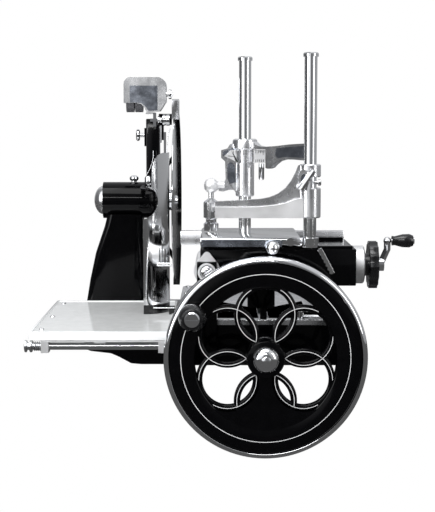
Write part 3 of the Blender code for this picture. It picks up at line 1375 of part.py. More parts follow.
# Tray
def make_tray():
    tray = box("tray", (TRAY_LEFT, TRAY_FRONT, TRAY_Z), (TRAY_RIGHT, TRAY_BACK, TRAY_TOP), WHITE)
    sink = box("sink_tool", (TRAY_LEFT + TRAY_LIP, TRAY_FRONT + TRAY_LIP, TRAY_TOP - TRAY_SINK),
               (TRAY_RIGHT - TRAY_LIP, TRAY_BACK - TRAY_LIP, TRAY_TOP + OVER), WHITE)
    round_edges(tray, TRAY_ROUND)
    cut(tray, sink)
    front, back = TRAY_ROD_Y + COLLAR_D, TRAY_BACK - TRAY_RIB
    for left, right in ((TRAY_LEFT + TRAY_RIB, BRACKET_TIP - TRAY_RIB),
                        (BRACKET_TIP + 2 * TRAY_RIB, TRAY_RIGHT - TRAY_RIB)):
        cut(tray, box("under_tool", (left, front, TRAY_Z - OVER),
                      (right, back, TRAY_TOP - TRAY_SINK - TRAY_WALL), WHITE))
    return smooth(tray)


def make_rod_hanger():
    """Strip under the tray's front edge with the two collars that carry the rod and a clip between them."""
    top = TRAY_Z - GAP
    half = COLLAR_D / 2
    left, right = COLLAR_XS[0] - COLLAR_W / 2, COLLAR_XS[1] + COLLAR_W / 2
    hanger = box("rod_hanger", (left, TRAY_ROD_Y - half, top - HANGER_T), (right, TRAY_ROD_Y + half, top),
                 CHROME)
    blocks = []
    for x in COLLAR_XS:
        blocks.append(box("collar_tool", (x - COLLAR_W / 2, TRAY_ROD_Y - half, COLLAR_LOW),
                          (x + COLLAR_W / 2, TRAY_ROD_Y + half, top - HANGER_T / 2), CHROME))
    blocks.append(box("clip_tool", (CLIP_X - CLIP_W / 2, TRAY_ROD_Y - half, TRAY_ROD_Z + TRAY_ROD_R + RUN),
                      (CLIP_X + CLIP_W / 2, TRAY_ROD_Y + half, top - HANGER_T / 2), CHROME))
    unite(hanger, *blocks)
    cut(hanger, cylinder("collar_hole_tool", (left - OVER, TRAY_ROD_Y, TRAY_ROD_Z), X_AXIS,
                         right - left + 2 * OVER, TRAY_ROD_R + RUN, CHROME))
    return smooth(hanger)


def make_tray_rod():
    length = TRAY_ROD_RIGHT - TRAY_ROD_LEFT
    knob = [(SPOOL_R * r, length + SPOOL_L * h) for r, h in SPOOL_SHARES]
    profile = [(0, length + SPOOL_L)] + knob + [(TRAY_ROD_R, length), (TRAY_ROD_R, SOFT),
                                                (TRAY_ROD_R - SOFT, 0), (0, 0)]
    return turned("tray_rod", profile, (TRAY_ROD_RIGHT, TRAY_ROD_Y, TRAY_ROD_Z), -X_AXIS, CHROME, SEG_MID)


def make_rod_spring():
    """Coil round the rod between its knob and the left collar."""
    start = TRAY_ROD_LEFT + SPRING_WIRE_R + GAP
    stop = COLLAR_XS[0] - COLLAR_W / 2 - SPRING_WIRE_R - GAP
    radius = TRAY_ROD_R + SPRING_CLEAR + SPRING_WIRE_R
    count = SPRING_TURNS * SPRING_STEPS
    points = []
    for i in range(count + 1):
        a = 2 * math.pi * i / SPRING_STEPS
        points.append(Vector((start + (stop - start) * i / count, TRAY_ROD_Y + radius * math.cos(a),
                              TRAY_ROD_Z + radius * math.sin(a))))
    least = min((p - q).length for i, p in enumerate(points) for q in points[i + SPRING_STEPS // 2:])
    print("tray rod spring: least gap to itself %.4f m" % (least - 2 * SPRING_WIRE_R))
    return tube("tray_rod_spring", points, SPRING_WIRE_R, STEEL, 1)


# Carriage
def make_rail():
    rail = cylinder("carriage_rail", (RAIL_X, RAIL_FRONT, RAIL_Z), Y_AXIS, RAIL_BACK - RAIL_FRONT, RAIL_R,
                    CHROME, SEG)
    half = SUPPORT_W / 2
    front = box("front_support", (RAIL_X - half, RAIL_FRONT, COVER_T),
                (RAIL_X + half, RAIL_FRONT + SUPPORT_T,
                                                                      RAIL_Z + half), BLACK, SOFT)
    foot = box("support_foot_tool", (RAIL_X - half, RAIL_FRONT + SOFT, COVER_T),
               (RAIL_X + half, BASE_FRONT - DECK_LIP - GAP, COVER_T + SUPPORT_H), BLACK)
    low = DECK_TOP + GAP
    back = box("rear_support", (RAIL_X - half, RAIL_BACK - SUPPORT_T, low),
               (RAIL_X + half, RAIL_BACK, RAIL_Z + half),
               BLACK, SOFT)
    tie = box("support_tie_tool", (RAIL_X, RAIL_BACK - SUPPORT_T, low),
              (RUNWAY_X, RAIL_BACK, low + SUPPORT_T), BLACK)
    runway = box("runway_tool", (RUNWAY_X - RUNWAY_W / 2, BODY_FRONT + BASE_ROUND, low),
                 (RUNWAY_X + RUNWAY_W / 2, RAIL_BACK, RUNWAY_TOP), BLACK)
    unite(front, foot)
    unite(back, tie, runway)
    for support in (front, back):
        cut(support, cylinder("rail_seat_tool", (RAIL_X, RAIL_FRONT - OVER, RAIL_Z), Y_AXIS,
                              RAIL_BACK - RAIL_FRONT + 2 * OVER, RAIL_R + GAP, BLACK, SEG))
        smooth(support)
    return rail, front, back


def make_carriage_body():
    wall = BODY_WALL
    body = box("carriage_body", (BODY_LEFT, BODY_FRONT, BODY_LOW), (BODY_RIGHT, BODY_BACK, BODY_TOP),
               BLACK, SOFT)
    hollow = box("hollow_tool", (RAIL_X + SLEEVE_R + wall / 2, BODY_FRONT + wall, BODY_LOW - OVER),
                 (BODY_RIGHT - wall, BODY_BACK - wall, BODY_TOP - wall), BLACK)
    sleeve = cylinder("sleeve_tool", (RAIL_X, BODY_FRONT - OVER, RAIL_Z), Y_AXIS,
                      BODY_BACK - BODY_FRONT + 2 * OVER, SLEEVE_R + GAP, BLACK, SEG)
    screw = cylinder("screw_tool", (BODY_RIGHT - wall - OVER, FEED_Y, FEED_Z), X_AXIS, wall + 2 * OVER,
                     FEED_R + RUN, BLACK)
    half = NUT_W / 2 + ROOM
    slot = box("nut_slot_tool", (-FEED_BACK - half, FEED_Y - half, BODY_TOP - wall - OVER),
               (FEED_OUT + half, FEED_Y + half, BODY_TOP + WAY_H + OVER), BLACK)
    ways = []
    for low in (BODY_FRONT + WAY_INSET, BODY_BACK - WAY_INSET - WAY_W):
        ways.append(box("way_tool", (BODY_LEFT + WAY_INSET, low, BODY_TOP - wall / 2),
                        (BODY_RIGHT - WAY_INSET, low + WAY_W, BODY_TOP + WAY_H), BLACK))
    unite(body, *ways)
    cut(body, hollow, sleeve, screw, slot)
    unite(body, *fork_tools(), knob_plate_tool())
    return smooth(body)


def diamond():
    """Flange outline: a round middle drawn out to an ear above and below."""
    lean = math.degrees(math.acos((FLANGE_R - FLANGE_EAR_R) / FLANGE_EAR))
    points = arc((0, 0), FLANGE_R, lean - 90, 90 - lean, 8)
    points += arc((0, FLANGE_EAR), FLANGE_EAR_R, 90 - lean, 90 + lean, 6)
    points += arc((0, 0), FLANGE_R, 90 + lean, 270 - lean, 8)
    points += arc((0, -FLANGE_EAR), FLANGE_EAR_R, 270 - lean, 270 + lean, 6)
    return [(RAIL_X + x, RAIL_Z + z) for x, z in points]


def make_sleeve():
    """Guide sleeve of the carriage with its flange in front."""
    sleeve = cylinder("rail_sleeve", (RAIL_X, BODY_FRONT - GAP - FLANGE_T / 2, RAIL_Z), Y_AXIS,
                      BODY_BACK - BODY_FRONT + FLANGE_T / 2, SLEEVE_R, CHROME, SEG)
    front = BODY_FRONT - GAP - FLANGE_T
    flange = panel("flange_tool", [diamond()], front, front + FLANGE_T, CHROME)
    bore = cylinder("sleeve_bore_tool", (RAIL_X, front - OVER, RAIL_Z), Y_AXIS,
                    BODY_BACK - front + 2 * OVER, RAIL_R + RUN, CHROME, SEG)
    unite(sleeve, flange)
    cut(sleeve, bore)
    return smooth(sleeve)


def make_beam():
    start = BODY_BACK + GAP
    beam = box("rear_beam", (BEAM_LEFT, start, BEAM_LOW), (BEAM_RIGHT, start + BEAM_T, BEAM_TOP), ALLOY,
               SOFT)
    return beam


def make_follower():
    """Block under the carriage whose stem reaches down through the deck slot to the connecting rod."""
    half = FOLLOWER_D / 2
    block = box("follower", (FOLLOWER_LEFT, STEM_Y - half, FOLLOWER_LOW),
                (FOLLOWER_RIGHT, STEM_Y + half, BODY_TOP - BODY_WALL - GAP), BLACK)
    room = cylinder("feed_room_tool", (FOLLOWER_LEFT - OVER, FEED_Y, FEED_Z), X_AXIS,
                    FOLLOWER_RIGHT - FOLLOWER_LEFT + 2 * OVER, NUT_W, BLACK)
    stem = cylinder("stem_tool", (0, STEM_Y, ROD_LOW), Z_AXIS, FOLLOWER_LOW - ROD_LOW + OVER, STEM_R,
                    BLACK)
    round_edges(block, SOFT)
    unite(block, stem)
    cut(block, room)
    return smooth(block)


def make_rod():
    """Connecting rod from the follower's stem to above the crank pin."""
    high = ROD_LOW + ROD_T
    half = ROD_W / 2
    rod = box("connecting_rod", (-half, STEM_Y, ROD_LOW), (half, STEM_Y + ROD_L, high), STEEL)
    for y in (STEM_Y, STEM_Y + ROD_L):
        unite(rod, cylinder("eye_tool", (0, y, ROD_LOW), Z_AXIS, ROD_T, ROD_EYE_R, STEEL))
    cut(rod, cylinder("eye_bore_tool", (0, STEM_Y, ROD_LOW - OVER), Z_AXIS, ROD_T + 2 * OVER, STEM_R + GAP,
                      STEEL))
    return smooth(rod)


def roller_place():
    return Vector((RUNWAY_X, (BODY_FRONT + BODY_BACK) / 2, RUNWAY_TOP + RUN + ROLLER_R))


def fork_tools():
    """Solids of the roller's fork that the feed box carries, and the room that it leaves for the roller."""
    x, y, z = roller_place()
    gap = ROLLER_W / 2 + ROOM
    fork = box("fork_tool", (x - ROLLER_W, y - ROLLER_R, z - ROLLER_PIN_R * 2),
               (x + ROLLER_W, y + ROLLER_R, BODY_TOP - BODY_WALL / 2), BLACK)
    cut(fork, box("roller_room_tool", (x - gap, y - ROLLER_R - OVER, z - ROLLER_R),
                  (x + gap, y + ROLLER_R + OVER, z + ROLLER_R + ROOM), BLACK))
    reach = ROLLER_W - SOFT
    pin = cylinder("roller_pin_tool", (x - reach, y, z), X_AXIS, 2 * reach, ROLLER_PIN_R, BLACK, SEG_SMALL)
    return fork, pin


def make_roller():
    x, y, z = roller_place()
    return ring("carriage_roller", (x - ROLLER_W / 2, y, z), X_AXIS, ROLLER_W, ROLLER_PIN_R + RUN,
                ROLLER_R, STEEL)


def knob_plate_tool():
    """Slotted plate on the carriage's front face that the knob slides in."""
    out = BODY_FRONT - KNOB_PLATE_OUT
    plate = box("knob_plate_tool", (KNOB_PLATE_LEFT, out, KNOB_PLATE_LOW),
                (KNOB_PLATE_RIGHT, BODY_FRONT + SOFT, KNOB_PLATE_TOP), BLACK)
    reach = KNOB_TRAVEL + KNOB_NECK_R + ROOM
    return cut(plate, box("knob_slot_tool", (KNOB_X - reach, out - OVER, KNOB_SLOT_LOW),
                          (KNOB_X + reach, BODY_FRONT - FINE, KNOB_SLOT_LOW + KNOB_SLOT_H), BLACK))


def make_strip():
    """Toothed strip on the carriage's front face."""
    back = BODY_FRONT - GAP
    front = back - STRIP_T
    a, b = [Vector((BODY_RIGHT - inset, z)) for inset, z in zip(STRIP_INS, STRIP_ZS)]
    way = (b - a).normalized()
    side = Vector((-way.y, way.x))
    points = [a + side * STRIP_HALF]
    count = STRIP_TEETH * 2
    for i in range(count + 1):
        out = STRIP_HALF if i % 2 else STRIP_HALF / 2
        points.append(a + (b - a) * i / count - side * out)
    points.append(b + side * STRIP_HALF)
    return panel("ratchet_strip", [[tuple(p) for p in points]], front, back, CHROME)


def ball(name, centre, radius, mat, segments=SEG_MID):
    bm = bmesh.new()
    bmesh.ops.create_uvsphere(bm, u_segments=segments, v_segments=segments // 2, radius=radius)
    obj = from_bmesh(name, bm, mat)
    obj.location = centre
    return smooth(obj)


def make_table_knob():
    knob = ball("table_knob", (KNOB_X, KNOB_Y, KNOB_Z), KNOB_R, CHROME)
    neck_z = KNOB_SLOT_LOW + KNOB_SLOT_H / 2
    unite(knob, cylinder("neck_tool", (KNOB_X, KNOB_Y, neck_z), Y_AXIS, BODY_FRONT - KNOB_Y - 2 * ROOM,
                         KNOB_NECK_R, CHROME, SEG_SMALL))
    return knob


# Feed
def make_ring():
    start = BODY_RIGHT + GAP
    profile = [(RING_R - SOFT, RING_L), (RING_R, RING_L - SOFT), (RING_R, SOFT), (RING_R - SOFT, 0),
               (FEED_R + RUN, 0), (FEED_R + RUN, RING_L)]
    return turned("thickness_ring", profile, (start, FEED_Y, FEED_Z), X_AXIS, CHROME)


def make_dial():
    """Scalloped hand wheel that sets the slice thickness."""
    points = []
    count = DIAL_LOBES * DIAL_STEPS
    for i in range(count):
        a = 2 * math.pi * i / count
        r = DIAL_R - DIAL_DEPTH * (1 - math.cos(a * DIAL_LOBES)) / 2
        points.append((r * math.cos(a), r * math.sin(a)))
    middle = DIAL_X + NECK_L + DIAL_L / 2
    dial = flat("thickness_wheel", [points], DIAL_L, facing(Y_AXIS, Z_AXIS, (middle, FEED_Y, FEED_Z)),
                RUBBERY)
    neck = cylinder("neck_tool", (DIAL_X, FEED_Y, FEED_Z), X_AXIS, NECK_L + SOFT, NECK_R, RUBBERY)
    bore = cylinder("dial_bore_tool", (DIAL_X - OVER, FEED_Y, FEED_Z), X_AXIS, NECK_L + DIAL_L + 2 * OVER,
                    FEED_R + RUN, RUBBERY)
    round_edges(dial, FINE, 50)
    unite(dial, neck)
    cut(dial, bore)
    return smooth(dial)


def make_feed_crank():
    """Feed screw, bent crank arm with its pin, and the loose grip."""
    screw = cylinder("feed_screw", (FEED_LEFT, FEED_Y, FEED_Z), X_AXIS,
                     CRANK_X + CRANK_HUB_L / 2 - FEED_LEFT, FEED_R, STEEL)
    hub = cylinder("crank_arm", (CRANK_X, FEED_Y, FEED_Z), X_AXIS, CRANK_HUB_L, CRANK_HUB_R, CHROME)
    middle = CRANK_X + CRANK_HUB_L / 2
    route = [(middle + x, FEED_Y, FEED_Z + z) for x, z in CRANK_ROUTE]
    end_x, end_z = CRANK_ROUTE[-1]
    pin_x = middle + end_x
    grip_x = pin_x + GRIP_SET
    pin = cylinder("grip_pin_tool", (pin_x, FEED_Y, FEED_Z + end_z), X_AXIS, GRIP_SET + GRIP_L + 2 * GAP,
                   GRIP_PIN_R, CHROME, SEG_SMALL)
    head = cylinder("grip_head_tool", (grip_x + GRIP_L + GAP, FEED_Y, FEED_Z + end_z), X_AXIS, GRIP_HEAD_H,
                    GRIP_HEAD_R, CHROME, SEG_SMALL)
    top = ball("arm_end_tool", (pin_x, FEED_Y, FEED_Z + end_z), CRANK_END_R, CHROME, SEG_SMALL)
    unite(hub, tube("arm_tool", route, CRANK_BAR_R, CHROME, 2), top, pin, head)
    cut(hub, cylinder("hub_bore_tool", (CRANK_X - OVER, FEED_Y, FEED_Z), X_AXIS,
                      OVER + CRANK_HUB_L / 2 + GAP, FEED_R + GAP, CHROME))
    smooth(hub)
    bore = GRIP_PIN_R + RUN
    profile = [(bore, GRIP_L)] + [(GRIP_R * r, GRIP_L * h) for r, h in GRIP_SHARES] + [(bore, 0)]
    grip = turned("crank_grip", profile, (grip_x, FEED_Y, FEED_Z + end_z), X_AXIS, RUBBERY, SEG_MID)
    return screw, hub, grip, FEED_Z + end_z


# Table and meat clamp
def make_table():
    """Sliding table with the rod boss, the feed nut below and a plain oval badge in front."""
    table = box("table_top", (TABLE_LEFT, TABLE_FRONT, TABLE_LOW), (TABLE_RIGHT, TABLE_BACK, TABLE_TOP),
                CHROME, TABLE_ROUND)
    (x1, y1), (x2, y2) = GUIDES
    boss = cylinder("boss_tool", (x2, y2, BOSS2_LOW), Z_AXIS, TABLE_TOP - BOSS2_LOW, BOSS2_R, CHROME)
    half = NUT_W / 2
    nut = box("nut_tool", (-half, FEED_Y - half, NUT_LOW), (half, FEED_Y + half, TABLE_LOW + SOFT), CHROME)
    thread = cylinder("thread_tool", (-NUT_W, FEED_Y, FEED_Z), X_AXIS, 2 * NUT_W, FEED_R + RUN, CHROME)
    badge = cylinder("badge_tool", (BADGE_X, TABLE_FRONT - BADGE_T, BADGE_Z), Y_AXIS, 2 * BADGE_T, BADGE_R,
                     CHROME)
    unite(table, boss, nut, badge)
    cut(table, thread)
    for x, y in GUIDES:
        cut(table, cylinder("rod_seat_tool", (x, y, TABLE_TOP - GUIDE_DEPTH), Z_AXIS, GUIDE_DEPTH + OVER,
                            GUIDE_R + GAP, CHROME))
    return smooth(table)


def make_guides():
    rods = []
    for name, (x, y) in zip(("left_rod", "right_rod"), GUIDES):
        low = TABLE_TOP - GUIDE_DEPTH + GAP
        neck = GUIDE_TOP - GUIDE_CAP_H - low
        top = GUIDE_TOP - low
        profile = [(0, top), (GUIDE_CAP_R - SOFT, top), (GUIDE_CAP_R, top - SOFT), (GUIDE_CAP_R, neck),
                   (GUIDE_R, neck), (GUIDE_R, 0), (0, 0)]
        rods.append(turned(name, profile, (x, y, low), Z_AXIS, CHROME, SEG_MID))
    return rods


def hull(a, ra, b, rb, steps=6):
    """Outline round two circles."""
    a, b = Vector(a), Vector(b)
    way = math.degrees(math.atan2(b.y - a.y, b.x - a.x))
    lean = math.degrees(math.acos((ra - rb) / (b - a).length))
    points = arc(a, ra, way + lean, way + 360 - lean, steps * 2)
    points += arc(b, rb, way - lean, way + lean, steps)
    return points


def rod_bore(name, index):
    x, y = GUIDES[index]
    return cylinder(name, (x, y, PRESS_LOW - OVER), Z_AXIS, GUIDE_TOP - PRESS_LOW, GUIDE_R + RUN, CHROME)


def make_clamp():
    """Upper slider on both rods with its scale plate and the screw foot."""
    (x1, y1), (x2, y2) = GUIDES
    slider = slab("clamp_slider", [hull((x1, y1), SLIDER_R, (x2, y2), BOSS2_R)], SLIDER_ARM,
                  SLIDER_ARM_TOP, ALLOY)
    sleeve = cylinder("sleeve_tool", (x1, y1, SLIDER_LOW), Z_AXIS, SLIDER_ARM - SLIDER_LOW + SOFT,
                      SLIDER_R, ALLOY)
    (bx0, bx1), (bz0, bz1) = SLIDER_BLOCK
    half = SLIDER_BLOCK_D / 2
    block = box("block_tool", (bx0, y1 - half, bz0), (bx1, y1 + half, bz1), ALLOY)
    (hx0, hx1), (hz0, hz1) = HORN_X, HORN_Z
    horn = box("horn_tool", (hx0, y1 - HORN_T / 2, hz0), (hx1, y1 + HORN_T / 2, hz1), ALLOY)
    knuckle = ball("knuckle_tool", (BALL_X, y1, BALL_Z), BALL_R, ALLOY)
    neck = cylinder("neck_tool", (BALL_X, y1, BALL_Z), X_AXIS, hx0 - BALL_X + SOFT, BALL_R / 2, ALLOY,
                    SEG_SMALL)
    unite(slider, sleeve, block, horn, knuckle, neck)
    front = y1 - SLIDER_R - GAP
    z0, z1 = SCALE_Z
    recess = box("recess_tool", (SCALE_X[0] - GAP, y2, z0 - GAP),
                 (SCALE_X[1] + GAP, front + GAP, z1 + GAP), ALLOY)
    foot_room = cylinder("foot_room_tool", (BALL_X, y1, FOOT_TOP - OVER), Z_AXIS, OVER + GAP, BALL_R,
                         ALLOY)
    cut(slider, recess, foot_room, rod_bore("left_rod_tool", 0), rod_bore("right_rod_tool", 1))
    smooth(slider)

    x0, x1 = SCALE_X
    middle = (z0 + z1) / 2
    outline = [(x1, z0), (x1, z1), (x0 + SCALE_POINT, z1), (x0, middle), (x0 + SCALE_POINT, z0)]
    scale = panel("clamp_scale", [outline], front - SCALE_T, front, CHROME)

    high = FOOT_TOP - GAP - FOOT_LOW
    profile = [(0, high)] + [(FOOT_R * r, high * (1 - h)) for r, h in FOOT_SHARES] + [(0, 0)]
    foot = turned("clamp_foot", profile, (BALL_X, y1, FOOT_LOW), Z_AXIS, CHROME, SEG_MID)
    return slider, scale, foot


def make_press():
    """Press arm on the right rod with its plate, and the lever that clamps it."""
    x, y = GUIDES[1]
    front, back = y - PRESS_T / 2, y + PRESS_T / 2
    outline = [(px, PRESS_LOW + pz) for px, pz in PRESS_OUTLINE] + [(PRESS_OUTLINE[0][0], PRESS_LOW)]
    arm = panel("press_arm", [outline], front, back, ALLOY)
    sleeve = cylinder("sleeve_tool", (x, y, PRESS_LOW), Z_AXIS, PRESS_TOP - PRESS_LOW, PRESS_SLEEVE_R,
                      ALLOY)
    plate = box("plate_tool", (PRESS_OUTLINE[0][0], back - SOFT, PRESS_LOW),
                (PRESS_OUTLINE[3][0], PRESS_PLATE_BACK, PRESS_LOW + PRESS_PLATE_T), ALLOY)
    z0, z1 = PRESS_NOTCH
    notch = box("notch_tool", (x + GUIDE_R, y - PRESS_T, z0), (x + PRESS_SLEEVE_R + OVER, y + PRESS_T, z1),
                ALLOY)
    unite(arm, sleeve, plate)
    cut(arm, notch, rod_bore("press_rod_tool", 1))
    smooth(arm)

    lever_y = y - PRESS_SLEEVE_R - GAP - HANDLE_BAR_R
    start = Vector((x - PRESS_SLEEVE_R, lever_y, HANDLE_PIVOT_Z))
    lever = tube("press_lever", [start, start + Vector((HANDLE_TIP[0], 0, HANDLE_TIP[1]))], HANDLE_BAR_R,
                 CHROME, 2)
    return arm, lever, start


def make_lock():
    """Lever on the deck that holds the carriage."""
    low = DECK_TOP + GAP
    hub = cylinder("carriage_lock", (LOCK_X, LOCK_Y, low), Z_AXIS, LOCK_HUB_H, LOCK_HUB_R, CHROME)
    z = low + LOCK_HUB_H / 2
    unite(hub, tube("lock_bar_tool", [(LOCK_X, LOCK_Y, z), (LOCK_X + LOCK_L, LOCK_Y, z)], LOCK_R, CHROME,
                    2))
    return smooth(hub)


def build():
    make_base()
    make_bush()
    make_bridge()
    make_bracket()
    make_chain()
    make_column()
    make_housing()
    make_guard()
    make_post()
    make_tray()
    make_rod_hanger()
    make_rod_spring()
    make_rail()

    wheel_parts = list(make_flywheel()) + [make_main_shaft()]
    handle, stud = make_wheel_handle()
    carry(pivot("flywheel_pivot", (0, FACE_Y, WHEEL_Z)), *wheel_parts, stud)
    carry(pivot("wheel_handle_pivot", handle_place()), handle)
    carry(pivot("crank_disc_pivot", (0, CRANK_Y, DISC_LOW)), make_crank_disc())
    carry(pivot("cross_shaft_pivot", (CHAIN_X, CROSS_Y, WHEEL_Z)), make_cross_shaft())
    carry(pivot("blade_pivot", (BLADE_X, BLADE_Y, BLADE_Z)), *make_blade())

    lever = make_deflector()[-1]
    carry(pivot("deflector_lever_pivot", (LEVER_X, LEVER_Y, LEVER_Z)), lever)
    body, stones = make_sharpener()
    carry(pivot("sharpener_pivot", (POST_X, BLADE_Y, POST_TOP)), body)
    carry(pivot("stones_pivot", (SHARP_LEFT, BLADE_Y, SHARP_LOW_LEFT)), stones)
    carry(pivot("thumbscrew_pivot", (POST_LEFT, BLADE_Y, THUMB_Z)), make_thumbscrew())
    carry(pivot("tray_rod_pivot", (TRAY_ROD_LEFT, TRAY_ROD_Y, TRAY_ROD_Z)), make_tray_rod())
    carry(pivot("carriage_lock_pivot", (LOCK_X, LOCK_Y, DECK_TOP)), make_lock())

    carriage = [make_carriage_body(), make_sleeve(), make_beam(), make_follower(), make_rod(),
                make_strip(), make_ring()]
    carry(pivot("carriage_pivot", (0, BODY_FRONT, BODY_LOW)), *carriage)
    carry(pivot("roller_pivot", roller_place()), make_roller())
    carry(pivot("table_knob_pivot", (KNOB_X, KNOB_Y, KNOB_Z)), make_table_knob())
    carry(pivot("thickness_wheel_pivot", (DIAL_X, FEED_Y, FEED_Z)), make_dial())
    screw, arm, grip, grip_z = make_feed_crank()
    carry(pivot("feed_crank_pivot", (CRANK_X, FEED_Y, FEED_Z)), screw, arm)
    carry(pivot("crank_grip_pivot", (CRANK_X, FEED_Y, grip_z)), grip)
    carry(pivot("table_pivot", (0, TABLE_FRONT, TABLE_LOW)), make_table(), *make_guides())
    slider, scale, foot = make_clamp()
    (x1, y1), (x2, y2) = GUIDES
    carry(pivot("clamp_pivot", (x1, y1, SLIDER_LOW)), slider, scale)
    carry(pivot("clamp_foot_pivot", (BALL_X, y1, FOOT_TOP)), foot)
    press, lever, lever_at = make_press()
    carry(pivot("press_pivot", (x2, y2, PRESS_LOW)), press)
    carry(pivot("press_lever_pivot", lever_at), lever)


build()
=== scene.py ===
"""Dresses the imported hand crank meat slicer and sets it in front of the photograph's camera.

Metres, in the model's own frame: +Z up, -Y towards the operator at the flywheel, +X towards the feed crank.
"""
import json
import math

import bmesh
import bpy
from mathutils import Matrix, Vector


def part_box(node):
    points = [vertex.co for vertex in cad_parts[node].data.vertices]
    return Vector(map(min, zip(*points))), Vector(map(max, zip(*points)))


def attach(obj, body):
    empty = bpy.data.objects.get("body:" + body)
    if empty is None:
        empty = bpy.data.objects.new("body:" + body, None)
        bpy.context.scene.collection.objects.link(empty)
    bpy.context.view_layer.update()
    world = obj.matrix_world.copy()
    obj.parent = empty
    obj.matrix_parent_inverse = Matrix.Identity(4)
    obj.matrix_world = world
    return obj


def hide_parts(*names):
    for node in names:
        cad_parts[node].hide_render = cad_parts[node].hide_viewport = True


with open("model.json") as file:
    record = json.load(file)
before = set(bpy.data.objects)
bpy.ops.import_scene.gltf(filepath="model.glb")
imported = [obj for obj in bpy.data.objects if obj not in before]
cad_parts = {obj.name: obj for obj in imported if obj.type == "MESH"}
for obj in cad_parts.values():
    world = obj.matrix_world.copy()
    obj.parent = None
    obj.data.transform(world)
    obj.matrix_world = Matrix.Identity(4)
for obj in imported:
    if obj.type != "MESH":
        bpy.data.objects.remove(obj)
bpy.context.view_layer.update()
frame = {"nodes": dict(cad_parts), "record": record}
NODES = frame["nodes"]
X_AXIS, Y_AXIS, Z_AXIS = Vector((1, 0, 0)), Vector((0, 1, 0)), Vector((0, 0, 1))
HAIR = 0.0002           # how far painted lines stand off their surface
WELD = 0.000002         # packed corners closer than this are joined
SMOOTH_ANGLE, PIECE_ANGLE, EDGE_ANGLE = 32, 35, 50      # degrees: CAD nodes, new pieces, rounded edges

# Camera, fitted to the photograph
IMAGE_H = 512
FOCAL_PX = 1250.0
SENSOR = 36.0
CAMERA_AT = (-0.080, -2.362, 0.412)
PITCH_DOWN = 5.94
FLOOR_Z = -0.145
FLOOR_IN_MIRRORS = 0.10
WORLD_STRENGTH = 1.15


# Node materials
def shader(name, base, roughness, metallic=0.0, coat=0.0, coat_roughness=0.03, ior=1.5):
    """A new node material, its tree and its Principled shader."""
    mat = bpy.data.materials.new(name)
    mat.use_nodes = True
    tree = mat.node_tree
    bsdf = tree.nodes["Principled BSDF"]
    bsdf.inputs["Base Color"].default_value = (*base, 1)
    bsdf.inputs["Roughness"].default_value = roughness
    bsdf.inputs["Metallic"].default_value = metallic
    bsdf.inputs["Coat Weight"].default_value = coat
    bsdf.inputs["Coat Roughness"].default_value = coat_roughness
    bsdf.inputs["IOR"].default_value = ior
    return mat, tree, bsdf


def node(tree, kind, **settings):
    """Adds a node; a setting is one of its inputs or else one of its properties."""
    made = tree.nodes.new(kind)
    for key, value in settings.items():
        if key in made.inputs:
            made.inputs[key].default_value = value
        else:
            setattr(made, key, value)
    return made


def place(tree, scale=(1, 1, 1)):
    """The object's own coordinates, stretched."""
    coords = node(tree, "ShaderNodeTexCoord")
    mapping = node(tree, "ShaderNodeMapping")
    mapping.inputs["Scale"].default_value = scale
    tree.links.new(coords.outputs["Object"], mapping.inputs["Vector"])
    return mapping.outputs["Vector"]


def noise(tree, vector, scale, detail=4.0, roughness=0.55):
    """Noise between 0 and 1."""
    made = node(tree, "ShaderNodeTexNoise", Scale=scale, Detail=detail, Roughness=roughness)
    tree.links.new(vector, made.inputs["Vector"])
    return made.outputs["Fac"]


def spread(tree, value, low, high, start=0.0, stop=1.0):
    """Maps a value between two stops to a range."""
    made = node(tree, "ShaderNodeMapRange")
    made.inputs["From Min"].default_value = start
    made.inputs["From Max"].default_value = stop
    made.inputs["To Min"].default_value = low
    made.inputs["To Max"].default_value = high
    tree.links.new(value, made.inputs["Value"])
    return made.outputs["Result"]


def blend_colours(tree, value, first, second):
    """A colour between two, by a value from 0 to 1."""
    ramp = node(tree, "ShaderNodeValToRGB")
    ramp.color_ramp.elements[0].color = (*first, 1)
    ramp.color_ramp.elements[1].color = (*second, 1)
    tree.links.new(value, ramp.inputs["Fac"])
    return ramp.outputs["Color"]


def bump(tree, bsdf, value, strength, distance):
    """Lets a value raise and lower the shader's normal."""
    made = node(tree, "ShaderNodeBump", Strength=strength, Distance=distance)
    tree.links.new(value, made.inputs["Height"])
    tree.links.new(made.outputs["Normal"], bsdf.inputs["Normal"])


def enamel(name, base, low=0.07, high=0.2, coat=0.6, ior=1.5):
    """Sprayed gloss enamel: orange peel, faint haze and dust."""
    mat, tree, bsdf = shader(name, base, low, coat=coat, ior=ior)
    at = place(tree)
    haze = noise(tree, at, 14, 5)
    tree.links.new(spread(tree, haze, low, high, 0.3, 0.75), bsdf.inputs["Roughness"])
    dust = noise(tree, at, 60, 6)
    light = tuple(min(1, c * 1.12 + 0.0006) for c in base)
    tone = blend_colours(tree, spread(tree, dust, 0, 1, 0.35, 0.8), base, light)
    tree.links.new(tone, bsdf.inputs["Base Color"])
    bump(tree, bsdf, noise(tree, at, 420, 2), 0.06, 0.0004)
    return mat


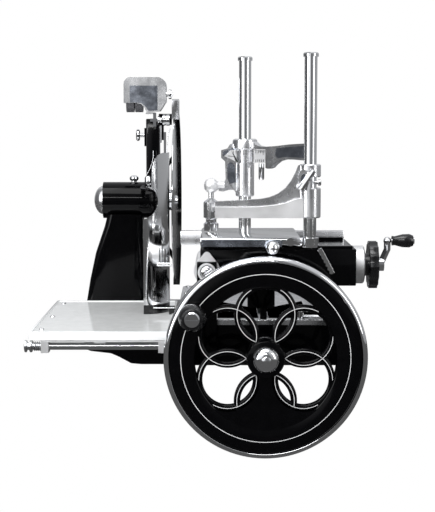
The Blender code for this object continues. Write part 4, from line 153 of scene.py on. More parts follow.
def metal(name, base, low, high, grain=(1, 1, 1), grain_scale=260, strength=0.05, smudge=9):
    """Polished or brushed metal: smudges in its gloss and fine scratches along one way."""
    mat, tree, bsdf = shader(name, base, low, metallic=1.0)
    at = place(tree)
    along = place(tree, grain)
    smears = noise(tree, at, smudge, 6, 0.6)
    lines = noise(tree, along, grain_scale, 3, 0.6)
    mixed = node(tree, "ShaderNodeMath", operation="MULTIPLY_ADD")
    tree.links.new(lines, mixed.inputs[0])
    mixed.inputs[1].default_value = 0.35
    tree.links.new(smears, mixed.inputs[2])
    tree.links.new(spread(tree, mixed.outputs[0], low, high, 0.45, 0.95), bsdf.inputs["Roughness"])
    dark = tuple(c * 0.9 for c in base)
    tone = blend_colours(tree, spread(tree, smears, 0, 1, 0.3, 0.7), dark, base)
    tree.links.new(tone, bsdf.inputs["Base Color"])
    bump(tree, bsdf, lines, strength, 0.0003)
    return mat


def ground_steel(name, base, centre, low, high):
    """Steel ground in rings about an axis along X through a (y, z) centre."""
    mat, tree, bsdf = shader(name, base, low, metallic=1.0)
    coords = node(tree, "ShaderNodeTexCoord")
    away = node(tree, "ShaderNodeVectorMath", operation="DISTANCE")
    flat = node(tree, "ShaderNodeMapping")
    flat.inputs["Scale"].default_value = (0, 1, 1)
    tree.links.new(coords.outputs["Object"], flat.inputs["Vector"])
    tree.links.new(flat.outputs["Vector"], away.inputs[0])
    away.inputs[1].default_value = (0, centre[0], centre[1])
    rings = node(tree, "ShaderNodeTexNoise", Scale=900.0, Detail=3.0)
    rings.noise_dimensions = "1D"
    tree.links.new(away.outputs["Value"], rings.inputs["W"])
    tree.links.new(spread(tree, rings.outputs["Fac"], low, high, 0.3, 0.7), bsdf.inputs["Roughness"])
    smears = noise(tree, coords.outputs["Object"], 12, 5)
    dark = tuple(c * 0.85 for c in base)
    tone = blend_colours(tree, spread(tree, smears, 0, 1, 0.3, 0.7), dark, base)
    tree.links.new(tone, bsdf.inputs["Base Color"])
    bump(tree, bsdf, rings.outputs["Fac"], 0.12, 0.0002)
    return mat


def plastic(name, base, low=0.16, high=0.3):
    """Moulded or turned handle material with fine scuffs."""
    mat, tree, bsdf = shader(name, base, low, coat=0.3, coat_roughness=0.12)
    at = place(tree)
    scuffs = noise(tree, at, 90, 6, 0.65)
    tree.links.new(spread(tree, scuffs, low, high, 0.35, 0.7), bsdf.inputs["Roughness"])
    light = tuple(c * 1.6 + 0.001 for c in base)
    tone = blend_colours(tree, spread(tree, scuffs, 0, 1, 0.5, 0.85), base, light)
    tree.links.new(tone, bsdf.inputs["Base Color"])
    bump(tree, bsdf, noise(tree, at, 700, 3), 0.08, 0.0003)
    return mat


def gritty(name, base):
    """Bonded grit of a grinding stone."""
    mat, tree, bsdf = shader(name, base, 0.9)
    at = place(tree)
    grains = node(tree, "ShaderNodeTexVoronoi", Scale=1400.0)
    tree.links.new(at, grains.inputs["Vector"])
    light = tuple(c * 2.4 + 0.02 for c in base)
    tree.links.new(blend_colours(tree, noise(tree, at, 900, 4), base, light), bsdf.inputs["Base Color"])
    tree.links.new(spread(tree, noise(tree, at, 60), 0.75, 0.98), bsdf.inputs["Roughness"])
    bump(tree, bsdf, grains.outputs["Distance"], 0.6, 0.0004)
    return mat


BLACK = enamel("black_enamel_paint", (0.0010, 0.0010, 0.0013), 0.05, 0.14, 0.08, 1.2)
WHITE = enamel("white_enamel_paint", (0.88, 0.89, 0.885), 0.08, 0.2, 0.5)
SILVER = enamel("silver_line_paint", (0.62, 0.62, 0.62), 0.4, 0.6, 0.0)
CHROME = metal("chrome_plate", (0.90, 0.905, 0.92), 0.03, 0.11, (1, 1, 1), 320, 0.02)
ALLOY = metal("polished_aluminium_cast", (0.93, 0.935, 0.95), 0.18, 0.36, (1, 1, 1), 90, 0.06, 16)
PALE = metal("pale_satin_aluminium", (0.97, 0.97, 0.975), 0.42, 0.62, (1, 1, 1), 140, 0.05, 16)
BRUSHED = metal("brushed_aluminium", (0.84, 0.85, 0.87), 0.16, 0.34, (1, 22, 22), 60, 0.07)
MIRROR = metal("mirror_sheet", (0.86, 0.865, 0.87), 0.04, 0.13, (20, 20, 1), 70, 0.03)
ROD = metal("ground_rod", (0.88, 0.89, 0.90), 0.05, 0.14, (1, 1, 30), 60, 0.03)
STEEL = metal("machined_steel", (0.55, 0.56, 0.58), 0.2, 0.42, (30, 30, 1), 60, 0.10)
BLADE = ground_steel("ground_blade_steel", (0.80, 0.81, 0.82), (0.130, 0.265), 0.07, 0.24)
PLASTIC = plastic("black_handle_plastic", (0.004, 0.004, 0.0045))
STONE = gritty("grinding_stone_grit", (0.05, 0.05, 0.055))
BRONZE = metal("bronze_bush", (0.60, 0.40, 0.18), 0.2, 0.4)
# Painted shade and reflection: a darker bluish metal laid as thin patches over hollows and polished faces,
# where the bright metal shows shade or dark reflections
PAINTED_SHADE_AND_REFLECTION = metal("painted_shade_and_reflection_panel", (0.42, 0.45, 0.51), 0.10, 0.34, (1, 1, 1), 45, 0.5, 60)

# The finish by a node's slot, and the nodes whose own finish differs from it
FINISH = {
    "black_enamel": BLACK, "chrome": CHROME, "polished_aluminium": ALLOY, "white_enamel": WHITE,
    "blade_steel": BLADE, "plain_steel": STEEL, "black_plastic": PLASTIC, "grinding_stone": STONE,
    "bronze": BRONZE,
}
OWN_FINISH = {
    "slice_deflector": MIRROR, "left_rod": ROD, "right_rod": ROD, "carriage_rail": ROD, "tray_rod": ROD,
    "deck_plate": BRUSHED, "rail_sleeve": PALE, "rod_hanger": PALE, "thickness_ring": PALE,
    "housing_cap": ALLOY, "guard_cap": ALLOY, "deflector_foot": PLASTIC,
}


# Shading of the carried-over nodes
def smoothing_group():
    """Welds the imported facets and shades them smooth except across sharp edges."""
    group = bpy.data.node_groups.new("smooth_by_edge_angle", "GeometryNodeTree")
    group.interface.new_socket("Geometry", in_out="INPUT", socket_type="NodeSocketGeometry")
    group.interface.new_socket("Geometry", in_out="OUTPUT", socket_type="NodeSocketGeometry")
    start = group.nodes.new("NodeGroupInput")
    stop = group.nodes.new("NodeGroupOutput")
    weld = group.nodes.new("GeometryNodeMergeByDistance")
    weld.inputs["Distance"].default_value = WELD
    drop = group.nodes.new("GeometryNodeRemoveAttribute")
    drop.inputs["Name"].default_value = "custom_normal"
    faces = group.nodes.new("GeometryNodeSetShadeSmooth")
    edges = group.nodes.new("GeometryNodeSetShadeSmooth")
    edges.domain = "EDGE"
    edges.inputs["Shade Smooth"].default_value = False
    angle = group.nodes.new("GeometryNodeInputMeshEdgeAngle")
    sharp = group.nodes.new("FunctionNodeCompare")
    sharp.data_type = "FLOAT"
    sharp.operation = "GREATER_THAN"
    sharp.inputs["B"].default_value = math.radians(SMOOTH_ANGLE)
    link = group.links.new
    link(start.outputs[0], weld.inputs["Geometry"])
    link(weld.outputs["Geometry"], drop.inputs["Geometry"])
    link(drop.outputs["Geometry"], faces.inputs["Geometry"])
    link(angle.outputs["Unsigned Angle"], sharp.inputs["A"])
    link(sharp.outputs["Result"], edges.inputs["Selection"])
    link(faces.outputs["Geometry"], edges.inputs["Geometry"])
    link(edges.outputs["Geometry"], stop.inputs[0])
    return group


SMOOTHING = smoothing_group()
BEVELS = {
    "table_top": 0.0012, "base_casting": 0.0012, "deck_plate": 0.0012, "blade_guard": 0.0008,
    "rod_hanger": 0.0006, "rail_sleeve": 0.001, "ratchet_strip": 0.0005, "side_bracket": 0.0015,
    "deflector_foot": 0.0005, "slice_deflector": 0.0003, "column": 0.0012, "thickness_ring": 0.0005,
    "carriage_lock": 0.0006,
}
slot_of = {part["node"]: part["material_slot"] for part in frame["record"]["subparts"]}
for name, obj in NODES.items():
    obj.data.materials.clear()
    obj.data.materials.append(OWN_FINISH.get(name) or FINISH[slot_of[name]])
    smoothing = obj.modifiers.new("smoothing", "NODES")
    smoothing.node_group = SMOOTHING
    if name in BEVELS:
        edge = obj.modifiers.new("edges", "BEVEL")
        edge.width = BEVELS[name]
        edge.segments = 3
        edge.limit_method = "ANGLE"
        edge.angle_limit = math.radians(EDGE_ANGLE)


# Mesh helpers
def turn_to(axis):
    """Turns own +Z to an axis."""
    return Z_AXIS.rotation_difference(Vector(axis)).to_matrix().to_4x4()


def piece(name, bm, mat, body, matrix=None, replaces=()):
    """Makes an object of a bmesh, shades it, and lets it ride on a body."""
    bmesh.ops.recalc_face_normals(bm, faces=bm.faces)
    if matrix is not None:
        bmesh.ops.transform(bm, matrix=matrix, verts=bm.verts)
    mesh = bpy.data.meshes.new(name)
    bm.to_mesh(mesh)
    bm.free()
    mesh.materials.append(mat)
    mesh.shade_smooth()
    mesh.set_sharp_from_angle(angle=math.radians(PIECE_ANGLE))
    obj = bpy.data.objects.new(name, mesh)
    bpy.context.scene.collection.objects.link(obj)
    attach(obj, body)
    if replaces:
        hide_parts(*replaces)
    return obj


def add_turned(bm, profile, segments, closed, matrix=Matrix()):
    """Adds (radius, height) points turned about own Z; radius 0 closes on the axis."""
    rings = []
    for r, z in profile:
        turns = [2 * math.pi * i / segments for i in range(segments if r > 0 else 1)]
        rings.append([bm.verts.new(matrix @ Vector((r * math.cos(a), r * math.sin(a), z))) for a in turns])
    pairs = list(zip(rings, rings[1:]))
    if closed:
        pairs.append((rings[-1], rings[0]))
    for a, b in pairs:
        for i in range(segments):
            j = (i + 1) % segments
            corners = []
            for vert in (a[i % len(a)], a[j % len(a)], b[j % len(b)], b[i % len(b)]):
                if vert not in corners:
                    corners.append(vert)
            if len(corners) > 2:
                bm.faces.new(corners)


def lathe(name, profile, at, axis, mat, body, slot, segments=64, replaces=()):
    """One turned piece; a profile that starts off the axis is closed to a ring."""
    bm = bmesh.new()
    add_turned(bm, profile, segments, profile[0][0] > 0)
    return piece(name, bm, mat, body, Matrix.Translation(at) @ turn_to(axis), replaces=replaces)


def lathe_many(name, profile, places, axis, mat, body, slot, segments=24):
    """The same small turned shape at several places, as one piece."""
    bm = bmesh.new()
    for at in places:
        add_turned(bm, profile, segments, False, Matrix.Translation(at) @ turn_to(axis))
    return piece(name, bm, mat, body)


def slab(name, outline, low, high, matrix, mat, body, slot, edge=0.0, segments=3, replaces=(), pick=None):
    """A plate of a closed outline in its own XY plane, its edges (or those picked) rounded."""
    bm = bmesh.new()
    under = [bm.verts.new((x, y, low)) for x, y in outline]
    over = [bm.verts.new((x, y, high)) for x, y in outline]
    bm.faces.new(list(reversed(under)))
    bm.faces.new(over)
    for i in range(len(outline)):
        j = (i + 1) % len(outline)
        bm.faces.new((under[i], under[j], over[j], over[i]))
    if edge:
        sharp = math.radians(EDGE_ANGLE)
        rims = [e for e in bm.edges if len(e.link_faces) == 2 and e.calc_face_angle(0) > sharp
                and (pick is None or pick((e.verts[0].co + e.verts[1].co) / 2))]
        bmesh.ops.bevel(bm, geom=rims, offset=edge, segments=segments, affect="EDGES", clamp_overlap=True)
    return piece(name, bm, mat, body, matrix, replaces=replaces)


def block(name, low, high, mat, body, slot, edge=0.001, replaces=()):
    """A solid between two corners with rounded edges."""
    (x0, y0, z0), (x1, y1, z1) = low, high
    return slab(name, [(x0, y0), (x1, y0), (x1, y1), (x0, y1)], z0, z1, Matrix(), mat, body, slot, edge,
                replaces=replaces)


def upright(y):
    """Own X and Y become X and Z; own +Z looks at the operator."""
    return Matrix(((1, 0, 0, 0), (0, 0, -1, y), (0, 1, 0, 0), (0, 0, 0, 1)))


def arc(centre, radius, start, stop, steps):
    """Points round a centre from one angle to another, in degrees."""
    return [(centre[0] + radius * math.cos(math.radians(start + (stop - start) * i / steps)),
             centre[1] + radius * math.sin(math.radians(start + (stop - start) * i / steps)))
            for i in range(steps + 1)]


def oval(centre, half_x, half_y, steps):
    """Points round an oval."""
    return [(centre[0] + half_x * math.cos(2 * math.pi * i / steps),
             centre[1] + half_y * math.sin(2 * math.pi * i / steps)) for i in range(steps)]


def bar(name, points, radius, mat, body, slot):
    """A round bar or wire along points."""
    curve = bpy.data.curves.new(name, "CURVE")
    curve.dimensions = "3D"
    curve.bevel_depth = radius
    curve.bevel_resolution = 6
    curve.use_fill_caps = True
    spline = curve.splines.new("POLY")
    spline.points.add(len(points) - 1)
    for p, co in zip(spline.points, points):
        p.co = (*co, 1)
    spline.use_smooth = True
    curve.materials.append(mat)
    obj = bpy.data.objects.new(name, curve)
    bpy.context.scene.collection.objects.link(obj)
    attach(obj, body)
    return obj


def line_ribbon(bm, points, width, normal, cyclic=False):
    """Adds a flat line of a width along points to a bmesh."""
    count = len(points)
    pairs = []
    for i, p in enumerate(points):
        before = points[(i - 1) % count] if cyclic or i else p
        after = points[(i + 1) % count] if cyclic or i < count - 1 else p
        way = (Vector(after) - Vector(before)).normalized()
        side = way.cross(normal).normalized() * (width / 2)
        pairs.append((bm.verts.new(Vector(p) + side), bm.verts.new(Vector(p) - side)))
    for i in range(count if cyclic else count - 1):
        a, b = pairs[i], pairs[(i + 1) % count]
        bm.faces.new((a[0], a[1], b[1], b[0]))


# Flywheel
WHEEL_Z = 0.028
FACE_Y = -0.320
WHEEL_AT = Vector((0, FACE_Y, WHEEL_Z))
RIM_LOW, RIM_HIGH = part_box("flywheel_rim")
RIM_R = (RIM_HIGH.x - RIM_LOW.x) / 2
RIM_FRONT, RIM_BACK = 0.0025, -0.0355
ROUND_R = 0.0080                    # rounding of the bright rim
BAND_R = RIM_R - 0.0088
BORE_R = 0.118
RIB_AT = 0.073
RIB_R = 0.0475
RIB_HALF = 0.0055
RIB_BACK = 0.004
RIB_T = 0.013
HUB_R = 0.0315
HUB_BORE = 0.0128
HUB_FRONT = 0.008
HUB_L = 0.046
PETAL_ANGLES = [90 + 60 * i for i in range(6)]
CLOSED_PETAL = 270
RIGHT_PETAL = -30                   # the lower right one, beside the closed one
BAND_LINE_R, BAND_LINE_W = 0.1411, 0.0011
PETAL_LINE_R, PETAL_LINE_W = 0.048, 0.0010


def polar(radius, degrees, y=0.0):
    """A point about the flywheel's centre, set back by y."""
    a = math.radians(degrees)
    return WHEEL_AT + Vector((radius * math.cos(a), y, radius * math.sin(a)))


def crossing(radius, petal):
    """Where the right lower petal's circle meets a circle about the axis, on the side of the bottom."""
    way = Vector((math.cos(math.radians(RIGHT_PETAL)), math.sin(math.radians(RIGHT_PETAL))))
    along = (RIB_AT ** 2 + radius ** 2 - petal ** 2) / (2 * RIB_AT)
    return way * along + Vector((way.y, -way.x)) * math.sqrt(radius ** 2 - along ** 2)


def walk(centre, radius, start, stop, steps, clockwise=False):
    """The arc about a centre from one point to another."""
    a0 = math.degrees(math.atan2(start[1] - centre[1], start[0] - centre[0]))
    a1 = math.degrees(math.atan2(stop[1] - centre[1], stop[0] - centre[0]))
    if clockwise and a1 > a0:
        a1 -= 360
    if not clockwise and a1 < a0:
        a1 += 360
    return arc(centre, radius, a0, a1, steps)


def make_closed_field():
    """The closed lower field between the two lower petals, nearly flush with the black ring."""
    petal, edge, hub = RIB_R + RIB_HALF, BORE_R + 0.0045, HUB_R - 0.001
    right = (RIB_AT * math.cos(math.radians(RIGHT_PETAL)), RIB_AT * math.sin(math.radians(RIGHT_PETAL)))
    low, near = crossing(edge, petal), crossing(hub, petal)
    low_left, near_left = (-low.x, low.y), (-near.x, near.y)
    points = walk(right, petal, low, near, 36, clockwise=True)
    points += walk((0, 0), hub, near, near_left, 12, clockwise=True)[1:]
    points += walk((-right[0], right[1]), petal, near_left, low_left, 36, clockwise=True)[1:]
    points += walk((0, 0), edge, low_left, low, 36)[1:-1]
    slab("flywheel_closed_field", points, -RIB_BACK - RIB_T + 0.001, -0.0001,
         Matrix.Translation((0, 0, WHEEL_Z)) @ upright(FACE_Y), BLACK, "flywheel", "black_enamel", 0.0008)


def make_lattice():
    """Six crossing rings of a rounded section, in place of the casting."""
    bm = bmesh.new()
    around, across = 72, 20
    half_t = RIB_T / 2
    section = []
    for i in range(across):
        a = 2 * math.pi * i / across
        c, s = math.cos(a), math.sin(a)
        section.append((RIB_HALF * math.copysign(abs(c) ** 0.6, c),
                        half_t * math.copysign(abs(s) ** 0.6, s)))
    for angle in PETAL_ANGLES:
        centre = polar(RIB_AT, angle, RIB_BACK + half_t)
        rings = []
        for i in range(around):
            a = 2 * math.pi * i / around
            out = Vector((math.cos(a), 0, math.sin(a)))
            rings.append([bm.verts.new(centre + out * (RIB_R + r) + Y_AXIS * t) for r, t in section])
        for i in range(around):
            a, b = rings[i], rings[(i + 1) % around]
            for k in range(across):
                j = (k + 1) % across
                bm.faces.new((a[k], a[j], b[j], b[k]))
    piece("flywheel_lattice", bm, BLACK, "flywheel", replaces=("flywheel_casting",))


def make_wheel_rings():
    """Black band and hub, and the bright rim with rounded edges."""
    band = [(BAND_R - 0.002, 0), (BAND_R - 0.0006, -0.0006), (BAND_R, -0.002), (BAND_R, -0.0298),
            (BAND_R - 0.010, -0.0298), (BORE_R + 0.004, -0.021), (BORE_R + 0.001, -0.0205),
            (BORE_R, -0.018), (BORE_R, -0.0035), (BORE_R + 0.0012, -0.0012), (BORE_R + 0.0035, 0)]
    lathe("flywheel_felloe", band, WHEEL_AT, -Y_AXIS, BLACK, "flywheel", "black_enamel", 128)
    hub = [(HUB_BORE, HUB_FRONT), (HUB_R - 0.0025, HUB_FRONT), (HUB_R - 0.0008, HUB_FRONT - 0.0008),
           (HUB_R, HUB_FRONT - 0.0025), (HUB_R, HUB_FRONT - HUB_L), (HUB_BORE, HUB_FRONT - HUB_L)]
    lathe("flywheel_hub", hub, WHEEL_AT, -Y_AXIS, BLACK, "flywheel", "black_enamel", 72)
    rim = []
    for step in range(10):
        a = math.radians(90 - 10 * step)
        rim.append((RIM_R - ROUND_R * (1 - math.cos(a)), RIM_FRONT - 0.0085 * (1 - math.sin(a))))
    for step in range(1, 10):
        a = math.radians(10 * step)
        rim.append((RIM_R - ROUND_R * (1 - math.cos(a)), RIM_BACK + ROUND_R * (1 - math.sin(a))))
    rim += [(RIM_R - 0.0085, RIM_BACK), (RIM_R - 0.0085, RIM_FRONT - 0.0003), (RIM_R - 0.0082, RIM_FRONT)]
    lathe("flywheel_bright_rim", rim, WHEEL_AT, -Y_AXIS, CHROME, "flywheel", "chrome", 144,
          replaces=("flywheel_rim",))


def make_pinstripes():
    """Silver lines on the black band and round each petal, kept off the hub, band and closed field."""
    bm = bmesh.new()
    line_ribbon(bm, [polar(BAND_LINE_R, 3 * i, -HAIR) for i in range(120)], BAND_LINE_W, -Y_AXIS, True)
    for angle in PETAL_ANGLES:
        centre = polar(RIB_AT, angle, RIB_BACK - HAIR)
        beside = [polar(RIB_AT, side, RIB_BACK - HAIR) for side in (CLOSED_PETAL - 60, CLOSED_PETAL + 60)]
        run = []
        for i in range(145):
            a = math.radians(angle + 180 + 2.5 * i)
            p = centre + Vector((math.cos(a), 0, math.sin(a))) * PETAL_LINE_R
            away = (Vector((p.x, 0, p.z)) - Vector((0, 0, WHEEL_Z))).length
            shown = 0.032 < away < 0.1175
            if angle == CLOSED_PETAL:
                shown = shown and min((p - other).length for other in beside) < PETAL_LINE_R
            if shown:
                run.append(p)
            else:
                if len(run) > 2:
                    line_ribbon(bm, run, PETAL_LINE_W, -Y_AXIS)
                run = []
        if len(run) > 2:
            line_ribbon(bm, run, PETAL_LINE_W, -Y_AXIS)
    piece("flywheel_pinstripes", bm, SILVER, "flywheel")


make_closed_field()
make_lattice()
make_wheel_rings()
make_pinstripes()


# Sharpener
def make_sharpener():
    """Rounded cover with a painted reflection on its front panel in dark bluish metal, its button and the
    screw on its right side.
    """
    cast, chrome = (ALLOY, "sharpener", "polished_aluminium"), (CHROME, "sharpener", "chrome")
    dark = (PAINTED_SHADE_AND_REFLECTION, "sharpener", "polished_aluminium")
    low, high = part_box("sharpener_box")
    left, right, top = low.x, high.x - 0.016, high.z
    outline = [(left, top - 0.050)] + arc((left + 0.013, top - 0.013), 0.013, 180, 90, 6)
    outline += arc((right - 0.017, top - 0.017), 0.017, 90, 0, 7)
    outline += [(right, top - 0.047), (right - 0.012, top - 0.066), (right - 0.038, top - 0.0676),
                (right - 0.0425, top - 0.0595), (right - 0.049, top - 0.0525), (right - 0.058, top - 0.050)]
    step = top - 0.049
    slab("sharpener_cover", outline, -high.y, -low.y, upright(0), *cast, 0.009, 6, ("sharpener_box",),
         lambda at: at.y > step)
    # Painted reflection: a thin dark bluish patch on the polished front, where it mirrors dark surroundings
    panel = [(left + 0.012, top - 0.0495), (left + 0.012, top - 0.0165), (right - 0.0165, top - 0.0165),
             (right - 0.0165, top - 0.0642), (right - 0.034, top - 0.0660), (right - 0.0395, top - 0.0585),
             (right - 0.047, top - 0.0510), (right - 0.056, top - 0.0492)]
    slab("sharpener_front_painted_reflection", panel, -low.y - 0.001, -low.y + 0.0003, upright(0), *dark, 0.0002, 1)
    button = [(0, 0.0035), (0.004, 0.003), (0.0065, 0.0015), (0.007, 0), (0, -0.001)]
    middle = (low.y + high.y) / 2
    lathe_many("sharpener_fittings", button, [(left + 0.056, middle, top - 0.0032)], Z_AXIS, *cast)
    screw = [(0.0045, -0.001), (0.0045, 0.006), (0.009, 0.006), (0.0095, 0.008), (0.009, 0.0115),
             (0.003, 0.0125), (0.003, 0.0145), (0, 0.0145)]
    lathe_many("sharpener_side_screw", screw, [(right - 0.001, 0.118, top - 0.033)], X_AXIS, *chrome)


ROLLER_AT = (-0.188, 0.1125, 0.4235)
WASHERS_AT = (-0.193, 0.1125, 0.4235)
POST_BOLT_AT = (-0.2168, 0.1035, 0.300)


def make_blade_top():
    """Chrome roller, washers, straps and wires between the sharpener's post and the blade's guard."""
    cast, chrome = (ALLOY, "stand", "polished_aluminium"), (CHROME, "stand", "chrome")
    roller = [(0.0105, 0), (0.011, 0.0006), (0.011, 0.0052), (0.0098, 0.0058), (0.0098, 0.0068),
              (0.011, 0.0074), (0.011, 0.0135), (0.0104, 0.0142), (0.004, 0.0142), (0.004, 0)]
    lathe("blade_top_roller", roller, ROLLER_AT, X_AXIS, *chrome, 48)
    washers = [(0.0035, -0.004), (0.0078, -0.004), (0.008, -0.0034), (0.008, -0.0014), (0.0035, -0.001),
               (0.0035, 0.0006), (0.0062, 0.001), (0.0062, 0.0028), (0.0035, 0.003)]
    lathe_many("blade_top_washers", washers, [WASHERS_AT], X_AXIS, *chrome)
    block("blade_top_nut", (-0.2065, 0.1085, 0.4105), (-0.2005, 0.1145, 0.4378), *chrome, 0.0015)
    block("blade_top_nut_arm", (-0.2125, 0.1095, 0.4205), (-0.1975, 0.1135, 0.4265), *chrome, 0.0012)
    block("blade_top_strap", (-0.1935, 0.1085, 0.379), (-0.1897, 0.1115, 0.4125), *cast, 0.0008)
    block("blade_top_link", (-0.1858, 0.1085, 0.356), (-0.1812, 0.1115, 0.4), *chrome, 0.001)
    bar("blade_top_wire", [(-0.1805, 0.1095, 0.352), (-0.1795, 0.1095, 0.370), (-0.1775, 0.1095, 0.392),
                           (-0.1735, 0.1095, 0.4075)], 0.0009, *chrome)
    bar("post_wire", [(-0.2068, 0.1138, 0.363), (-0.2070, 0.1138, 0.350), (-0.2092, 0.1138, 0.338),
                      (-0.2150, 0.1138, 0.325), (-0.2200, 0.1138, 0.3155)], 0.0008, *chrome)
    collar = [(0.0032, -0.004), (0.0062, -0.004), (0.0068, -0.003), (0.0068, 0.010), (0.0055, 0.0125),
              (0.0032, 0.013)]
    lathe("post_collar", collar, POST_BOLT_AT, Z_AXIS, *chrome, 32)
    bolt = [(0.0028, -0.010), (0.0028, 0.010), (0.0046, 0.010), (0.0046, 0.0138), (0, 0.0145)]
    lathe_many("post_bolt", bolt, [POST_BOLT_AT], Z_AXIS, *chrome)
    block("post_cap", (-0.2215, 0.1145, 0.4355), (-0.2035, 0.1455, 0.4385), *cast, 0.0008)
    block("post_pad", (-0.2245, 0.1185, 0.372), (-0.2195, 0.1415, 0.408), BLACK, "stand", "black_enamel",
          0.0018)


make_sharpener()
make_blade_top()


# Meat clamp
LEFT_ROD = Vector((-0.031, -0.125))
RIGHT_ROD = Vector((0.076, -0.255))
ARM_END = Vector((0.0815, -0.2345))
ROD_BORE = 0.0113


def along_arm():
    """Own X runs from the left rod to behind the right one, own Y is up, own +Z looks at the operator."""
    way = (ARM_END - LEFT_ROD).normalized()
    return Matrix(((way.x, 0, way.y, LEFT_ROD.x), (way.y, 0, -way.x, LEFT_ROD.y), (0, 1, 0, 0),
                   (0, 0, 0, 1)))


def make_clamp():
    """Cast slider: sleeve on the left rod, split head, arm to the right rod, plate with knuckle, pin."""
    cast, pale = (ALLOY, "clamp", "polished_aluminium"), (PALE, "clamp", "polished_aluminium")
    dark = (PAINTED_SHADE_AND_REFLECTION, "clamp", "polished_aluminium")
    x, y = LEFT_ROD
    at = (x, y, 0)
    bore, out = ROD_BORE, 0.0165
    sleeve = [(bore, 0.287), (out - 0.002, 0.287), (out, 0.289), (out, 0.3465), (bore, 0.3465)]
    lathe("clamp_sleeve", sleeve, at, Z_AXIS, *cast, 64, ("clamp_slider",))
    neck = [(bore, 0.3465), (0.0145, 0.3465), (0.0145, 0.3708), (bore, 0.3708)]
    lathe("clamp_neck", neck, at, Z_AXIS, *cast, 48)
    head = [(bore, 0.3705), (0.0205, 0.3705), (0.0225, 0.3725), (0.0225, 0.381), (0.0215, 0.3872),
            (0.0185, 0.3892), (bore, 0.3895)]
    lathe("clamp_head", head, at, Z_AXIS, *cast, 64)
    reach = (ARM_END - LEFT_ROD).length
    arm = [(0.0545, 0.3712), (0.017, 0.3712), (0.017, 0.3855), (0.026, 0.3835), (0.034, 0.3775),
           (0.046, 0.3755), (0.075, 0.377), (0.110, 0.3805), (0.140, 0.3822), (reach, 0.3825),
           (reach, 0.3528), (0.120, 0.3545), (0.098, 0.3545), (0.084, 0.3515), (0.074, 0.3455),
           (0.067, 0.3395), (0.060, 0.3375), (0.0545, 0.3385)]
    slab("clamp_arm", arm, -0.006, 0.006, along_arm(), *cast, 0.0026, 4)
    # Painted shade: a thin dark bluish patch on the arm's face stands for the shade in its hollow
    arm_hollow_shade = [(0.080, 0.3735), (0.110, 0.3762), (0.140, 0.378), (reach - 0.006, 0.3785),
             (reach - 0.006, 0.3575), (0.120, 0.3585), (0.096, 0.3585), (0.084, 0.3560), (0.077, 0.362)]
    slab("clamp_arm_hollow_painted_shade", arm_hollow_shade, 0.005, 0.0063, along_arm(), *dark, 0.0003, 1)
    plate = [(x - 0.0125, 0.300), (x - 0.0125, 0.3845), (-0.058, 0.3790), (-0.0625, 0.3720),
             (-0.0735, 0.3690), (-0.0735, 0.3555), (-0.0665, 0.3490), (-0.0655, 0.318), (-0.069, 0.3075),
             (-0.078, 0.302), (-0.078, 0.2965), (-0.070, 0.2955), (-0.060, 0.2985), (-0.050, 0.2985),
             (-0.043, 0.291), (x - 0.0125, 0.289)]
    slab("clamp_plate", plate, -y - 0.006, -y + 0.0055, upright(0), *cast, 0.0024, 4)
    # Painted shade: a thin dark bluish patch on the plate's face stands for the shade in its hollow
    hollow = [(x - 0.0165, 0.312), (x - 0.0185, 0.342), (-0.056, 0.3485), (-0.0625, 0.3435),
              (-0.0625, 0.318), (-0.058, 0.309)]
    slab("clamp_plate_hollow_painted_shade", hollow, -y + 0.0045, -y + 0.0058, upright(0), *dark, 0.0003, 1)
    # Painted shade: a thin dark bluish patch stands for the shade in the plate's notch
    notch = [(-0.0705, 0.3665), (-0.052, 0.3735), (-0.0465, 0.3785), (-0.0465, 0.3735), (-0.060, 0.3600),
             (-0.0705, 0.3590)]
    slab("clamp_plate_notch_painted_shade", notch, -y + 0.0045, -y + 0.0058, upright(0), *dark, 0.0003, 1)
    knuckle = [(0, -0.0128), (0.006, -0.0118), (0.0105, -0.0085), (0.0132, -0.0035), (0.0135, 0),
               (0.0132, 0.0035), (0.0112, 0.0075), (0.0088, 0.0102), (0.0072, 0.013), (0.0068, 0.024),
               (0, 0.024)]
    lathe("clamp_knuckle", knuckle, (-0.0915, y, 0.306), X_AXIS, *pale, 48)
    pin = [(0, -0.0295), (0.0035, -0.0288), (0.005, -0.026), (0.0052, -0.004), (0.0052, 0.0)]
    lathe_many("clamp_pin", pin, [(-0.0022, -0.1425, 0.3455)], Z_AXIS, CHROME, "clamp", "chrome")


def make_scale():
    """The clamp's pale scale plates, their backs, and the painted marks."""
    cast, plate = (ALLOY, "clamp", "polished_aluminium"), (PALE, "clamp", "chrome")
    x, y = LEFT_ROD
    low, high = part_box("clamp_scale")
    mid = (low.z + high.z) / 2
    arrow = [(low.x, mid + 0.0005), (low.x + 0.012, high.z), (x - 0.0155, high.z), (x - 0.0155, low.z),
             (low.x + 0.026, low.z)]
    slab("scale_plate_left", arrow, -high.y, -low.y, upright(0), *plate, 0.0003, 2, ("clamp_scale",))
    block("scale_plate_right", (x + 0.0155, low.y, low.z), tuple(high), *plate, 0.0004)
    behind = high.y - 0.0003
    block("scale_back_left", (x - 0.030, behind, low.z + 0.002), (x - 0.0155, y - 0.0045, high.z - 0.002),
          *cast, 0.0012)
    block("scale_back_right", (x + 0.0132, behind, low.z + 0.001), (high.x, high.y + 0.0132, high.z),
          *cast, 0.0012)
    face = low.y - HAIR
    marks = []                          # x, two heights, width
    for i in [*range(5), *range(9, 13)]:
        at = low.x + 0.016 + i * 0.0044
        tall = 0.0075 if i % 4 == 0 else 0.0045
        marks.append((at, high.z - 0.0015, high.z - 0.0015 - tall, 0.0007))
    marks += [(low.x + 0.056 + i * 0.0034, low.z + 0.0015, low.z + 0.006, 0.0011) for i in range(5)]
    bm = bmesh.new()
    for at, start, stop, width in marks:
        line_ribbon(bm, [Vector((at, face, start)), Vector((at, face, stop))], width, -Y_AXIS)
    line_ribbon(bm, [Vector((low.x + 0.006, face, 0.3592)), Vector((x - 0.0175, face, 0.3580))], 0.0007,
                -Y_AXIS)
    piece("clamp_scale_ticks", bm, BLACK, "clamp")


make_clamp()
make_scale()


